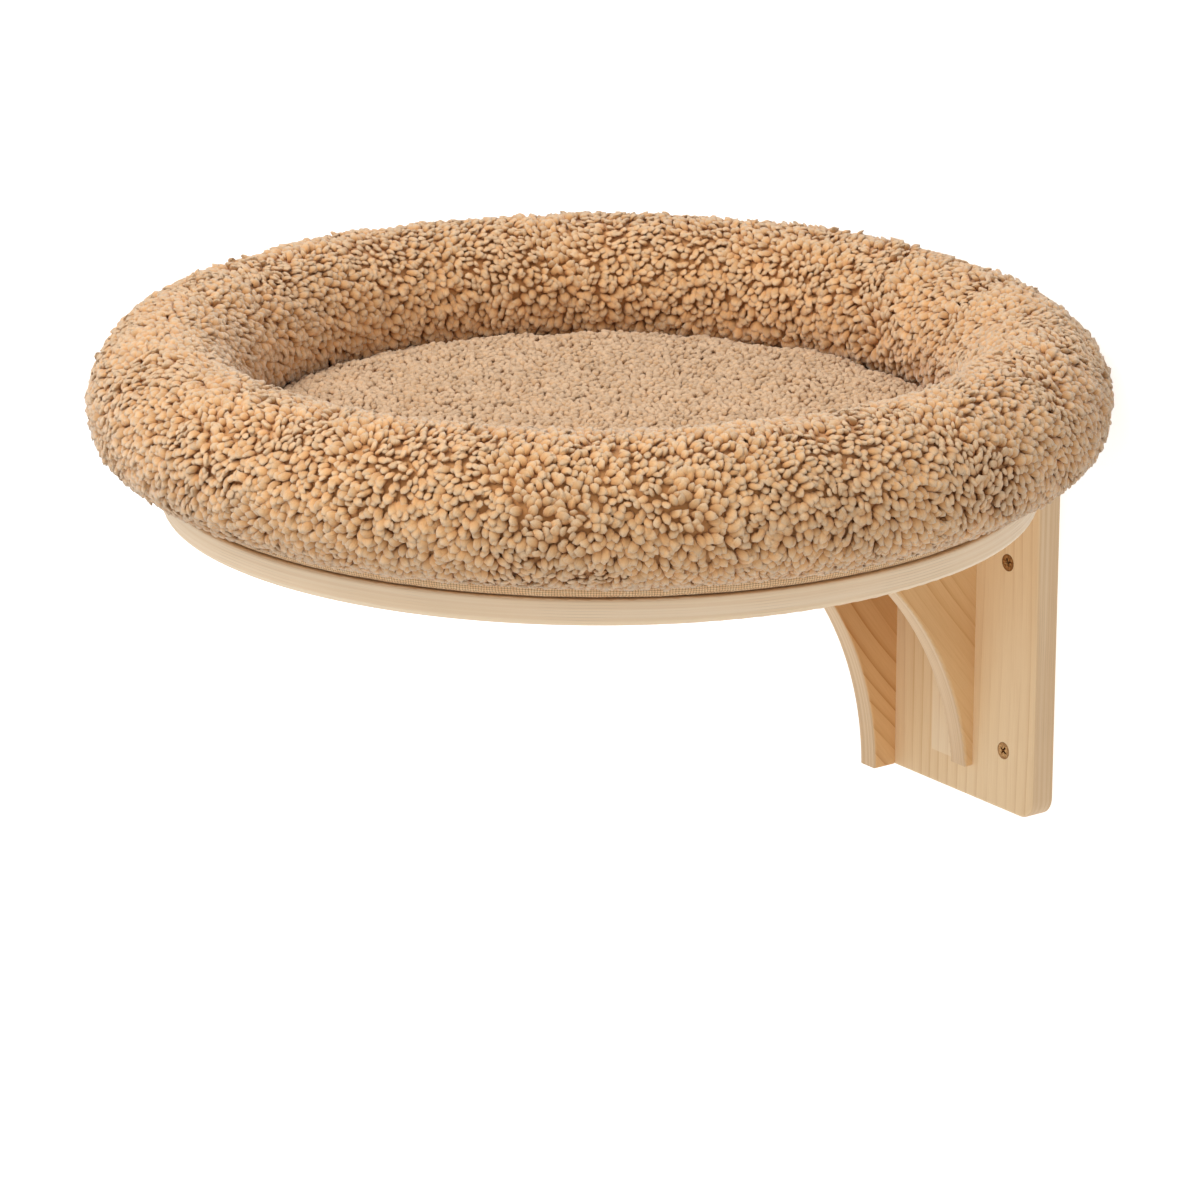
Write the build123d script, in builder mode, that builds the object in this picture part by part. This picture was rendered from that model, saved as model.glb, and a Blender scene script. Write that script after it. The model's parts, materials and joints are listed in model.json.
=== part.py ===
from build123d import *
import os

# Wall-mounted cat bed: a round plywood shelf on two curved brackets and a wall plate,
# under a plush ring cushion that lifts off its hook-and-loop patches.
# Lengths are millimetres. +Z is up and +Y points into the wall. X = 0 is the middle
# plane of the shelf, Y = 0 the wall's face, where the plate's back lies, and Z = 0 the
# top face of the shelf board.

# Plywood
ply = 12.0

# Shelf board
board_radius = 200.0
board_seat_cut = 3.8  # the disc's rear is planed flat this far, to seat on the plate
board_lower_rounding = 3.0
board_upper_rounding = 1.0

# Brackets, measured from the plate's front face and the board's underside
bracket_gap = 47.0
bracket_depth = 134.0
bracket_nose_height = 20.0
bracket_nose_rounding = 8.0
bracket_bow_share = 0.165  # rise of the hollow curve, as a share of its chord
bracket_edge_rounding = 1.2
toe_rounding_share = 0.35
left_bracket_height = 178.0
left_bracket_toe = 12.0
right_bracket_height = 162.0
right_bracket_toe = 4.0

# Wall plate
plate_rise = 14.0  # above the board's top face
plate_margin = 45.0  # to the right of the right bracket, for the wall screws
plate_corner_radius = 10.0
plate_bracket_corner_radius = 2.0
plate_front_rounding = 1.5

# Screws
screw_fit = 0.05  # between a screw and the wood around it
wall_screw_radius = 2.25
wall_screw_shank_radius = 1.6
wall_screw_head_radius = 4.25
wall_screw_length = 50.0
wall_screw_thread_length = 30.0
wall_screw_point = 6.0
wall_screw_drop = 54.0  # upper screws, below the board's underside
wall_screw_foot = 30.0  # lower screw, above the plate's bottom edge
frame_screw_radius = 2.0
frame_screw_head_radius = 4.0
frame_screw_length = 30.0
frame_screw_point = 5.0
bracket_screw_shares = (0.2, 0.5)  # down each bracket's height
shelf_screw_shares = (0.25, 0.7)  # along each bracket's depth

# Hook-and-loop patches
patch_radius = 15.0
patch_thickness = 1.0
patch_count = 4
patch_circle_radius = 120.0
patch_start_angle = 45.0

# Cushion
cushion_clearance = 0.3  # to the board, the plate and the wall
fabric_clearance = 0.2  # between a cover and its filling
linen_thickness = 1.2
plush_thickness = 3.0
base_height = 8.0
base_rounding = 3.6
bolster_overhang = 31.0  # past the board's rim
bolster_width = 70.0
bolster_sole_width = 12.0  # the flat that its seams with the base leave underneath
bolster_wall_rounding = 12.0
floor_height = 14.0
floor_crown = 4.0
floor_rim_rounding = 6.0

# Places that follow from the sizes above
plate_front_y = -ply
underside_z = -ply
board_centre_y = plate_front_y + board_seat_cut - board_radius
bracket_x = (bracket_gap + ply) / 2
bracket_face_x = bracket_gap / 2 + ply
plate_left_x = -bracket_face_x
plate_right_x = bracket_face_x + plate_margin
plate_bottom_z = underside_z - left_bracket_height
wall_screw_x = bracket_face_x + plate_margin / 2
wall_screw_upper_z = underside_z - wall_screw_drop
wall_screw_lower_z = plate_bottom_z + wall_screw_foot
screw_head_angle = 90
base_bottom_z = cushion_clearance
base_top_z = base_bottom_z + base_height
bolster_outer_radius = board_radius + bolster_overhang
bolster_ring_radius = bolster_outer_radius - bolster_width / 2
nest_radius = bolster_outer_radius - bolster_width
bolster_lower_radius = (bolster_width - bolster_sole_width) / 2
bolster_belly_z = base_top_z + bolster_lower_radius
bolster_top_z = bolster_belly_z + bolster_width / 2
cushion_plate_y = plate_front_y - cushion_clearance
loop_bottom_z = patch_thickness + cushion_clearance
loop_top_z = loop_bottom_z + patch_thickness
disc_axis = Axis((0, board_centre_y, 0), (0, 0, 1))

# Planes that the screws are driven from: their Z points out of the wood
plate_front = Plane(origin=(0, plate_front_y, 0), x_dir=(1, 0, 0), z_dir=(0, -1, 0))
plate_back = Plane(origin=(0, 0, 0), x_dir=(-1, 0, 0), z_dir=(0, 1, 0))
board_top = Plane.XY
disc_section = Plane(origin=(0, board_centre_y, 0), x_dir=(1, 0, 0), z_dir=(0, -1, 0))

wall_screw_places = [
    (wall_screw_x, wall_screw_upper_z),
    (wall_screw_x, wall_screw_lower_z),
    (0, wall_screw_upper_z),
]


def bracket_screw_places(side, height):
    """Return the places of one bracket's rear screws on the plate's back face."""
    return [(-side * bracket_x, underside_z - height * share) for share in bracket_screw_shares]


def shelf_screw_places(side):
    """Return the places of one bracket's screws on the board's top face."""
    return [(side * bracket_x, plate_front_y - bracket_depth * share) for share in shelf_screw_shares]


def screw_body(radius, head_radius, length, point):
    """Return a fully threaded countersunk wood screw, its head at the origin and its point below."""
    with BuildPart() as body:
        with BuildSketch(Plane.XZ):
            with BuildLine():
                Polyline(
                    (0, 0),
                    (head_radius, 0),
                    (radius, radius - head_radius),
                    (radius, point - length),
                    (0, -length),
                    close=True,
                )
            make_face()
        revolve(axis=Axis.Z)
    return body.part


def shank_screw_body(radius, shank_radius, head_radius, length, thread_length, point):
    """Return a partly threaded countersunk wood screw, placed like the fully threaded one."""
    with BuildPart() as body:
        with BuildSketch(Plane.XZ):
            with BuildLine():
                Polyline(
                    (0, 0),
                    (head_radius, 0),
                    (shank_radius, shank_radius - head_radius),
                    (shank_radius, thread_length - length + radius - shank_radius),
                    (radius, thread_length - length),
                    (radius, point - length),
                    (0, -length),
                    close=True,
                )
            make_face()
        revolve(axis=Axis.Z)
    return body.part


def bracket_body(side, height, toe):
    """Return one bracket: a straight top and rear, a blunt nose and a hollow curve."""
    top_rear = (plate_front_y, underside_z)
    top_front = (plate_front_y - bracket_depth, underside_z)
    nose = (plate_front_y - bracket_depth, underside_z - bracket_nose_height)
    toe_front = (plate_front_y - toe, underside_z - height)
    toe_rear = (plate_front_y, underside_z - height)
    chord = (Vector(*nose) - Vector(*toe_front)).length
    with BuildPart() as body:
        with BuildSketch(Plane.YZ.offset(side * bracket_x)) as outline:
            with BuildLine():
                Polyline(toe_front, toe_rear, top_rear, top_front, nose)
                SagittaArc(toe_front, nose, -chord * bracket_bow_share)
            make_face()
            corners = outline.vertices()
            fillet(corners.sort_by_distance(nose)[0], bracket_nose_rounding)
            fillet(corners.sort_by_distance(toe_front)[0], toe * toe_rounding_share)
        extrude(amount=ply / 2, both=True)
        seats = body.edges().group_by(Axis.Z)[-1] + body.edges().group_by(Axis.Y)[-1]
        cheeks = body.faces().filter_by(Axis.X)
        fillet([edge for edge in cheeks.edges() if edge not in seats], bracket_edge_rounding)
        with Locations(plate_back):
            with Locations(*bracket_screw_places(side, height)):
                Hole(frame_screw_radius + screw_fit, depth=frame_screw_length + screw_fit)
        with Locations(board_top):
            with Locations(*shelf_screw_places(side)):
                Hole(frame_screw_radius + screw_fit, depth=frame_screw_length + screw_fit)
    return body.part


# Wooden frame

with BuildPart() as wall_plate:
    with BuildSketch(Plane.XZ) as plate_outline:
        with Locations((plate_left_x, plate_bottom_z)):
            Rectangle(
                plate_right_x - plate_left_x,
                plate_rise - plate_bottom_z,
                align=(Align.MIN, Align.MIN),
            )
        fillet(plate_outline.vertices().group_by(Axis.X)[-1], plate_corner_radius)
        fillet(plate_outline.vertices().group_by(Axis.X)[0], plate_bracket_corner_radius)
    extrude(amount=ply)
    fillet(wall_plate.faces().sort_by(Axis.Y)[0].edges(), plate_front_rounding)
    with Locations(plate_front):
        with Locations(*wall_screw_places):
            CounterSinkHole(
                wall_screw_radius + screw_fit,
                wall_screw_head_radius + screw_fit,
                counter_sink_angle=screw_head_angle,
            )
    with Locations(plate_back):
        with Locations(
            *bracket_screw_places(-1, left_bracket_height),
            *bracket_screw_places(1, right_bracket_height),
        ):
            CounterSinkHole(
                frame_screw_radius + screw_fit,
                frame_screw_head_radius + screw_fit,
                counter_sink_angle=screw_head_angle,
            )
wall_plate.part.label = "wall_plate"

with BuildPart() as bracket_left:
    add(bracket_body(-1, left_bracket_height, left_bracket_toe))
bracket_left.part.label = "bracket_left"

with BuildPart() as bracket_right:
    add(bracket_body(1, right_bracket_height, right_bracket_toe))
bracket_right.part.label = "bracket_right"

with BuildPart() as shelf_board:
    with BuildSketch(Plane.XY.offset(underside_z)):
        with Locations((0, board_centre_y)):
            Circle(board_radius)
        with Locations((0, plate_front_y)):
            Rectangle(2 * board_radius, board_radius, align=(Align.CENTER, Align.MIN), mode=Mode.SUBTRACT)
    extrude(amount=ply)
    rims = shelf_board.edges().filter_by(GeomType.CIRCLE).group_by(Axis.Z)
    fillet(rims[0], board_lower_rounding)
    fillet(rims[-1], board_upper_rounding)
    with Locations(*shelf_screw_places(-1), *shelf_screw_places(1)):
        CounterSinkHole(
            frame_screw_radius + screw_fit,
            frame_screw_head_radius + screw_fit,
            counter_sink_angle=screw_head_angle,
        )
shelf_board.part.label = "shelf_board"

# Screws

wall_screw = shank_screw_body(
    wall_screw_radius,
    wall_screw_shank_radius,
    wall_screw_head_radius,
    wall_screw_length,
    wall_screw_thread_length,
    wall_screw_point,
)
frame_screw = screw_body(frame_screw_radius, frame_screw_head_radius, frame_screw_length, frame_screw_point)

with BuildPart() as wall_screws:
    with Locations(plate_front):
        with Locations(*wall_screw_places):
            add(wall_screw)
wall_screws.part.label = "wall_screws"

with BuildPart() as bracket_screws_left:
    with Locations(plate_back):
        with Locations(*bracket_screw_places(-1, left_bracket_height)):
            add(frame_screw)
bracket_screws_left.part.label = "bracket_screws_left"

with BuildPart() as bracket_screws_right:
    with Locations(plate_back):
        with Locations(*bracket_screw_places(1, right_bracket_height)):
            add(frame_screw)
bracket_screws_right.part.label = "bracket_screws_right"

with BuildPart() as shelf_screws_left:
    with Locations(*shelf_screw_places(-1)):
        add(frame_screw)
shelf_screws_left.part.label = "shelf_screws_left"

with BuildPart() as shelf_screws_right:
    with Locations(*shelf_screw_places(1)):
        add(frame_screw)
shelf_screws_right.part.label = "shelf_screws_right"

# Hook-and-loop patches: the hooks are glued to the board, the loops sewn to the cushion

with BuildPart() as hook_patches:
    with BuildSketch():
        with Locations((0, board_centre_y)):
            with PolarLocations(patch_circle_radius, patch_count, start_angle=patch_start_angle):
                Circle(patch_radius)
    extrude(amount=patch_thickness)
hook_patches.part.label = "hook_patches"

with BuildPart() as loop_patches:
    with BuildSketch(Plane.XY.offset(loop_bottom_z)):
        with Locations((0, board_centre_y)):
            with PolarLocations(patch_circle_radius, patch_count, start_angle=patch_start_angle):
                Circle(patch_radius)
    extrude(amount=patch_thickness)
loop_patches.part.label = "loop_patches"


# Cushion

def base_body(inset):
    """Return the base's rounded disc, drawn in all round by inset."""
    radius = board_radius - inset
    with BuildPart() as body:
        with BuildSketch(disc_section) as half:
            with Locations((0, base_bottom_z + inset)):
                Rectangle(radius, base_height - 2 * inset, align=(Align.MIN, Align.MIN))
            fillet(half.vertices().group_by(Axis.X)[-1], base_rounding - inset)
        revolve(axis=disc_axis)
        with BuildSketch(Plane.XY):
            with Locations((0, cushion_plate_y - inset)):
                Rectangle(2 * board_radius, board_radius, align=(Align.CENTER, Align.MIN))
        extrude(amount=base_top_z, mode=Mode.SUBTRACT)
        with BuildSketch(Plane.XY):
            with Locations((0, board_centre_y)):
                with PolarLocations(patch_circle_radius, patch_count, start_angle=patch_start_angle):
                    Circle(patch_radius + cushion_clearance + inset)
        extrude(amount=loop_top_z + inset, mode=Mode.SUBTRACT)
    return body.part


def bolster_section(inset):
    """Return the bolster's section: a round crown over sides that draw in to a narrow sole."""
    crown_radius = bolster_width / 2 - inset
    side_radius = bolster_lower_radius - inset
    sole_half = bolster_sole_width / 2
    sole_z = bolster_belly_z - side_radius
    with BuildSketch() as section:
        with BuildLine():
            CenterArc((bolster_ring_radius, bolster_belly_z), crown_radius, 0, 180)
            CenterArc((bolster_ring_radius - sole_half, bolster_belly_z), side_radius, 180, 90)
            Line((bolster_ring_radius - sole_half, sole_z), (bolster_ring_radius + sole_half, sole_z))
            CenterArc((bolster_ring_radius + sole_half, bolster_belly_z), side_radius, 270, 90)
        make_face()
    return section.sketch


def bolster_body(inset):
    """Return the stuffed ring, drawn in all round by inset, pressed flat on the wall and the plate."""
    with BuildPart() as body:
        with BuildSketch(disc_section):
            add(bolster_section(inset))
        revolve(axis=disc_axis)
        with BuildSketch(Plane.XY):
            with Locations((0, -cushion_clearance - inset)):
                Rectangle(2 * bolster_outer_radius, bolster_outer_radius, align=(Align.CENTER, Align.MIN))
        extrude(amount=bolster_top_z, mode=Mode.SUBTRACT)
        fillet(body.faces().sort_by(Axis.Y)[-1].edges(), bolster_wall_rounding - inset)
        with BuildSketch(Plane.XY):
            with Locations((plate_left_x - cushion_clearance - inset, cushion_plate_y - inset)):
                Rectangle(
                    plate_right_x - plate_left_x + 2 * (cushion_clearance + inset),
                    ply + cushion_clearance + inset,
                    align=(Align.MIN, Align.MIN),
                )
        extrude(amount=plate_rise + cushion_clearance + inset, mode=Mode.SUBTRACT)
    return body.part


def floor_body(inset):
    """Return the crowned floor pad, tucked in under the bolster's inner belly."""
    sole_z = base_top_z + inset
    rim_z = base_top_z + floor_height - inset
    crown_z = rim_z + floor_crown
    with BuildPart() as body:
        with BuildSketch(disc_section) as half:
            with BuildLine():
                Polyline(
                    (0, crown_z),
                    (0, sole_z),
                    (bolster_ring_radius, sole_z),
                    (bolster_ring_radius, rim_z),
                )
                TangentArc((0, crown_z), (bolster_ring_radius, rim_z), tangent=(1, 0))
            make_face()
            add(bolster_section(-fabric_clearance - inset), mode=Mode.SUBTRACT)
            rim = half.vertices().sort_by_distance((nest_radius, rim_z))[0]
            fillet(rim, floor_rim_rounding - inset)
        revolve(axis=disc_axis)
    return body.part


with BuildPart() as linen_base:
    add(base_body(0))
    add(base_body(linen_thickness), mode=Mode.SUBTRACT)
linen_base.part.label = "linen_base"

with BuildPart() as base_wadding:
    add(base_body(linen_thickness + fabric_clearance))
base_wadding.part.label = "base_wadding"

with BuildPart() as floor_cover:
    add(floor_body(0))
    add(floor_body(plush_thickness), mode=Mode.SUBTRACT)
floor_cover.part.label = "floor_cover"

with BuildPart() as floor_foam:
    add(floor_body(plush_thickness + fabric_clearance))
floor_foam.part.label = "floor_foam"

with BuildPart() as bolster_cover:
    add(bolster_body(0))
    add(bolster_body(plush_thickness), mode=Mode.SUBTRACT)
bolster_cover.part.label = "bolster_cover"

with BuildPart() as bolster_filling:
    add(bolster_body(plush_thickness + fabric_clearance))
bolster_filling.part.label = "bolster_filling"

sub_parts = [
    wall_plate,
    bracket_left,
    bracket_right,
    shelf_board,
    wall_screws,
    bracket_screws_left,
    bracket_screws_right,
    shelf_screws_left,
    shelf_screws_right,
    hook_patches,
    loop_patches,
    linen_base,
    base_wadding,
    floor_cover,
    floor_foam,
    bolster_cover,
    bolster_filling,
]

os.makedirs("parts", exist_ok=True)
for sub_part in sub_parts:
    export_step(sub_part.part, f"parts/{sub_part.part.label}.step")
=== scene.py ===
"""Dress the wall-mounted cat bed: its plywood frame, its screws and its plush ring cushion.

Lengths are metres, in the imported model's frame: +Z is up, +Y points into the wall and Z = 0 is the
top face of the shelf board.
"""

import json
import logging
import math
from collections.abc import Callable, Sequence
from dataclasses import dataclass
from enum import Enum

import bmesh
import bpy
import numpy as np
from mathutils import Euler, Matrix, Vector, noise

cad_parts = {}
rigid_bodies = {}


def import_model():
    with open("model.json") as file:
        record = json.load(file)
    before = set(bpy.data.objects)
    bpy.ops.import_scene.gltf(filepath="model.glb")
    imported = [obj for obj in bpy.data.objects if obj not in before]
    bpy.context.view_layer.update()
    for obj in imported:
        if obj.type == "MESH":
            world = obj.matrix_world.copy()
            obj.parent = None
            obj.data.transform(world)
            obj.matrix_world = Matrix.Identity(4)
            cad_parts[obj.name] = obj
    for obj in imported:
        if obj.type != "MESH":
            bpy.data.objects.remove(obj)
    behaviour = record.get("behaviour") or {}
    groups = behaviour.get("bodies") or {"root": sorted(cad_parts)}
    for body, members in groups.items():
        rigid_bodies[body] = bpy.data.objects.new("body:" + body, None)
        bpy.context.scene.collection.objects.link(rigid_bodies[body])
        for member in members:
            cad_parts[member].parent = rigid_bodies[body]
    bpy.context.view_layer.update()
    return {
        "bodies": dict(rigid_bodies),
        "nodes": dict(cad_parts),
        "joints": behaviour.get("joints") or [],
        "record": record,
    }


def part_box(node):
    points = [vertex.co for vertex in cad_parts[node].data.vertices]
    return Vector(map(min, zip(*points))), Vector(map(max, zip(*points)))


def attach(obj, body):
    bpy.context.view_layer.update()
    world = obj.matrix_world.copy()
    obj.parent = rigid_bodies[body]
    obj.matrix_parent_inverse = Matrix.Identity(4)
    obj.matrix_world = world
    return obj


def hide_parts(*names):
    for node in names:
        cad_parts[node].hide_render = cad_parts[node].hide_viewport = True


log = logging.getLogger("cat_bed")

Colour = tuple[float, float, float]
Point = tuple[float, float, float]
Form = bmesh.types.BMesh
Material = bpy.types.Material
Mesh = bpy.types.Mesh
Piece = bpy.types.Object
Socket = bpy.types.NodeSocket

MM = 0.001
SAME_POINT = 1e-6
WHITE = (1.0, 1.0, 1.0)
KEPT_OFF = 0.2 * MM
SOLE_DEPTH = 1.5 * MM
POINTS_PER_SQUARE_METRE = 900000.0
CLOTH_FRAMES = 20
NOISE_SEED = 1


# Shared mesh tools


def link_mesh(name: str, mesh: Mesh) -> Piece:
    """Put a mesh in the scene as an object at the origin.

    Args:
        name: The object's name.
        mesh: Its mesh.

    Returns:
        The new object.
    """
    piece = bpy.data.objects.new(name, mesh)
    bpy.context.scene.collection.objects.link(piece)
    return piece


def mesh_from(name: str, form: Form, smooth: bool = True) -> Mesh:
    """Turn a form into a mesh, with its normals outward if it is closed.

    Args:
        name: The mesh's name.
        form: The form, which is freed.
        smooth: Whether its faces are shaded smooth.

    Returns:
        The new mesh.
    """
    bmesh.ops.remove_doubles(form, verts=form.verts, dist=SAME_POINT)
    bmesh.ops.recalc_face_normals(form, faces=form.faces)
    for face in form.faces:
        face.smooth = smooth
    mesh = bpy.data.meshes.new(name)
    form.to_mesh(mesh)
    form.free()
    return mesh


def skin(form: Form, rows: Sequence[Sequence], wraps: bool, closed: bool) -> None:
    """Join neighbouring rows of vertices with faces.

    Args:
        form: The form that holds them.
        rows: The rows, all of one length.
        wraps: Whether the last row joins the first.
        closed: Whether each row is a closed ring.
    """
    following = [*rows[1:], rows[0]] if wraps else rows[1:]
    for row, after in zip(rows, following):
        for k in range(len(row) if closed else len(row) - 1):
            beside = (k + 1) % len(row)
            form.faces.new((row[k], after[k], after[beside], row[beside]))


def lathe(
    outline: Sequence[tuple[float, float]], centre: Vector, segments: int, form: Form | None = None
) -> Form:
    """Turn an outline about the upright line through a centre.

    Args:
        outline: Radius and height of each point, from one pole to the other.
        centre: The point whose X and Y the axis passes through.
        segments: Steps round the axis.
        form: A form to add it to, or nothing for a new one.

    Returns:
        The closed form.
    """
    form = form or bmesh.new()
    rings = []
    for step in range(segments):
        angle = math.tau * step / segments
        across = Vector((math.cos(angle), math.sin(angle), 0))
        rings.append([form.verts.new(Vector((centre.x, centre.y, z)) + across * r) for r, z in outline])
    skin(form, rings, wraps=True, closed=False)
    bmesh.ops.remove_doubles(form, verts=form.verts, dist=SAME_POINT)
    return form


def rounded_corner(centre: tuple[float, float], radius: float, start: float, steps: int) -> list:
    """Return a quarter circle's points in an outline.

    Args:
        centre: Radius and height of the corner's centre.
        radius: The corner's radius.
        start: The angle of its first point, in degrees.
        steps: How many steps it takes.

    Returns:
        The points, turning anticlockwise.
    """
    points = []
    for step in range(steps + 1):
        angle = math.radians(start + 90 * step / steps)
        points.append((centre[0] + radius * math.cos(angle), centre[1] + radius * math.sin(angle)))
    return points


def bake_modifiers(piece: Piece) -> None:
    """Turn a piece's evaluated form into its own plain mesh and drop its modifiers.

    Args:
        piece: The piece, with its modifiers on.
    """
    graph = bpy.context.evaluated_depsgraph_get()
    graph.update()
    finished = bpy.data.meshes.new_from_object(piece.evaluated_get(graph))
    piece.modifiers.clear()
    piece.data = finished


def cut_away(piece: Piece, cutters: Sequence[Piece]) -> None:
    """Cut other pieces out of a piece, and remove them.

    Args:
        piece: The piece that is cut.
        cutters: The pieces to cut out of it, in turn.
    """
    for cutter in cutters:
        cut = piece.modifiers.new(cutter.name, "BOOLEAN")
        cut.operation = "DIFFERENCE"
        cut.solver = "EXACT"
        cut.object = cutter
    bake_modifiers(piece)
    for cutter in cutters:
        bpy.data.objects.remove(cutter)


def vertex_array(mesh: Mesh) -> np.ndarray:
    """Return a mesh's vertices as an array of rows.

    Args:
        mesh: The mesh.

    Returns:
        One row of X, Y and Z for each vertex.
    """
    flat = np.empty(len(mesh.vertices) * 3)
    mesh.vertices.foreach_get("co", flat)
    return flat.reshape(-1, 3)


def store_float(mesh: Mesh, name: str, values: np.ndarray) -> None:
    """Keep one number for each vertex under a name that shaders and node trees can read."""
    layer = mesh.attributes.new(name, "FLOAT", "POINT")
    layer.data.foreach_set("value", np.asarray(values, dtype=np.float32))


def report(piece: Piece) -> None:
    """Report a finished piece by its name and how many faces it has."""
    log.info("%s: %d faces", piece.name, len(piece.data.polygons))


# Node building


class NodeBuilder:
    """A node tree, with short calls that add and join its nodes."""

    def __init__(self, tree: bpy.types.NodeTree) -> None:
        """Take the tree to build in."""
        self.tree = tree

    def join(self, source: object, target: Socket) -> None:
        """Link a socket to an input, or set the input where the source is a plain value.

        Args:
            source: An output, or a value.
            target: The input.
        """
        if isinstance(source, Socket):
            self.tree.links.new(source, target)
        elif isinstance(source, tuple) and target.type == "RGBA":
            target.default_value = (*source[:3], 1.0)
        else:
            target.default_value = source

    def node(self, kind: str, *values: object, **named: object) -> bpy.types.Node:
        """Add a node.

        Args:
            kind: The node's type.
            values: What its first shown inputs take, in their order.
            named: Its properties, which start small, and what other inputs take, which start with a
                capital, with spaces written as underscores.

        Returns:
            The node.
        """
        node = self.tree.nodes.new(kind)
        for name, value in named.items():
            if name[0].islower():
                setattr(node, name, value)
        shown = [socket for socket in node.inputs if socket.enabled]
        for value, target in zip(values, shown):
            self.join(value, target)
        for name, value in named.items():
            if name[0].isupper():
                label = name.replace("_", " ")
                self.join(value, next(socket for socket in shown if socket.name == label))
        return node

    def value(self, kind: str, *values: object, **named: object) -> Socket:
        """Add a node as node() does, and return its first shown output."""
        node = self.node(kind, *values, **named)
        return next(socket for socket in node.outputs if socket.enabled)

    def math(self, operation: str, *values: object) -> Socket:
        """Add a Math node and return its result."""
        return self.value("ShaderNodeMath", *values, operation=operation)

    def vector_math(self, operation: str, *values: object) -> Socket:
        """Add a Vector Math node and return its vector."""
        return self.value("ShaderNodeVectorMath", *values, operation=operation)


class Shader(NodeBuilder):
    """A material's node tree, with short calls for the patterns that the finishes use."""

    def __init__(self, name: str) -> None:
        """Start an empty material.

        Args:
            name: The material's name.
        """
        self.material = bpy.data.materials.new(name)
        self.material.use_nodes = True
        super().__init__(self.material.node_tree)
        self.tree.nodes.clear()

    def step(self, value: object, low: float, high: float) -> Socket:
        """Return 0 below low, 1 above high and a smooth step between them."""
        return self.value("ShaderNodeMapRange", value, low, high, interpolation_type="SMOOTHSTEP")

    def mix(self, factor: object, first: object, second: object) -> Socket:
        """Mix two colours by a factor and return the result."""
        return self.value("ShaderNodeMix", factor, first, second, data_type="RGBA")

    def coordinates(self, kind: str) -> Socket:
        """Return the texture coordinates of a kind, such as Object, UV or Normal."""
        return self.node("ShaderNodeTexCoord").outputs[kind]

    def place(self, scale: Point = (1, 1, 1), turn: Point = (0, 0, 0), move: Point = (0, 0, 0)) -> Socket:
        """Return Object coordinates, turned and moved and then scaled.

        Args:
            scale: The scale along each axis.
            turn: The turn, as Euler angles.
            move: The shift, in metres.

        Returns:
            The coordinates.
        """
        turned = self.value(
            "ShaderNodeMapping", Vector=self.coordinates("Object"), Rotation=turn, Location=move
        )
        return self.value("ShaderNodeMapping", Vector=turned, Scale=scale)

    def noise(self, vector: object, scale: float = 1.0, detail: float = 2.0, rough: float = 0.5) -> Socket:
        """Return a noise pattern's value at a place."""
        return self.value("ShaderNodeTexNoise", Vector=vector, Scale=scale, Detail=detail, Roughness=rough)

    def parts(self, vector: object) -> tuple:
        """Return a vector's X, Y and Z."""
        return tuple(self.node("ShaderNodeSeparateXYZ", vector).outputs)

    def attribute(self, name: str, output: str = "Fac") -> Socket:
        """Return what the mesh keeps under a name, as a number or as another of the node's outputs."""
        return self.node("ShaderNodeAttribute", attribute_name=name).outputs[output]

    def bump(self, height: object, depth: float, strength: float = 1.0, under: object = None) -> Socket:
        """Return a normal that raises a height pattern, over another normal if one is given."""
        over = {} if under is None else {"Normal": under}
        return self.value("ShaderNodeBump", Height=height, Distance=depth, Strength=strength, **over)

    def finish(self, colour: object, roughness: object, normal: Socket, **levels: object) -> Material:
        """Set the surface and return the material.

        Args:
            colour: Its base colour.
            roughness: Its roughness.
            normal: Its bumped normal.
            levels: Other inputs of the Principled shader, with spaces written as underscores.

        Returns:
            The finished material.
        """
        surface = self.value(
            "ShaderNodeBsdfPrincipled", Base_Color=colour, Roughness=roughness, Normal=normal, **levels
        )
        self.node("ShaderNodeOutputMaterial", surface)
        return self.material


# Finishes


class Axis(Enum):
    """The three axes, by their place in a vector."""

    X = 0
    Y = 1
    Z = 2


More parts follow.
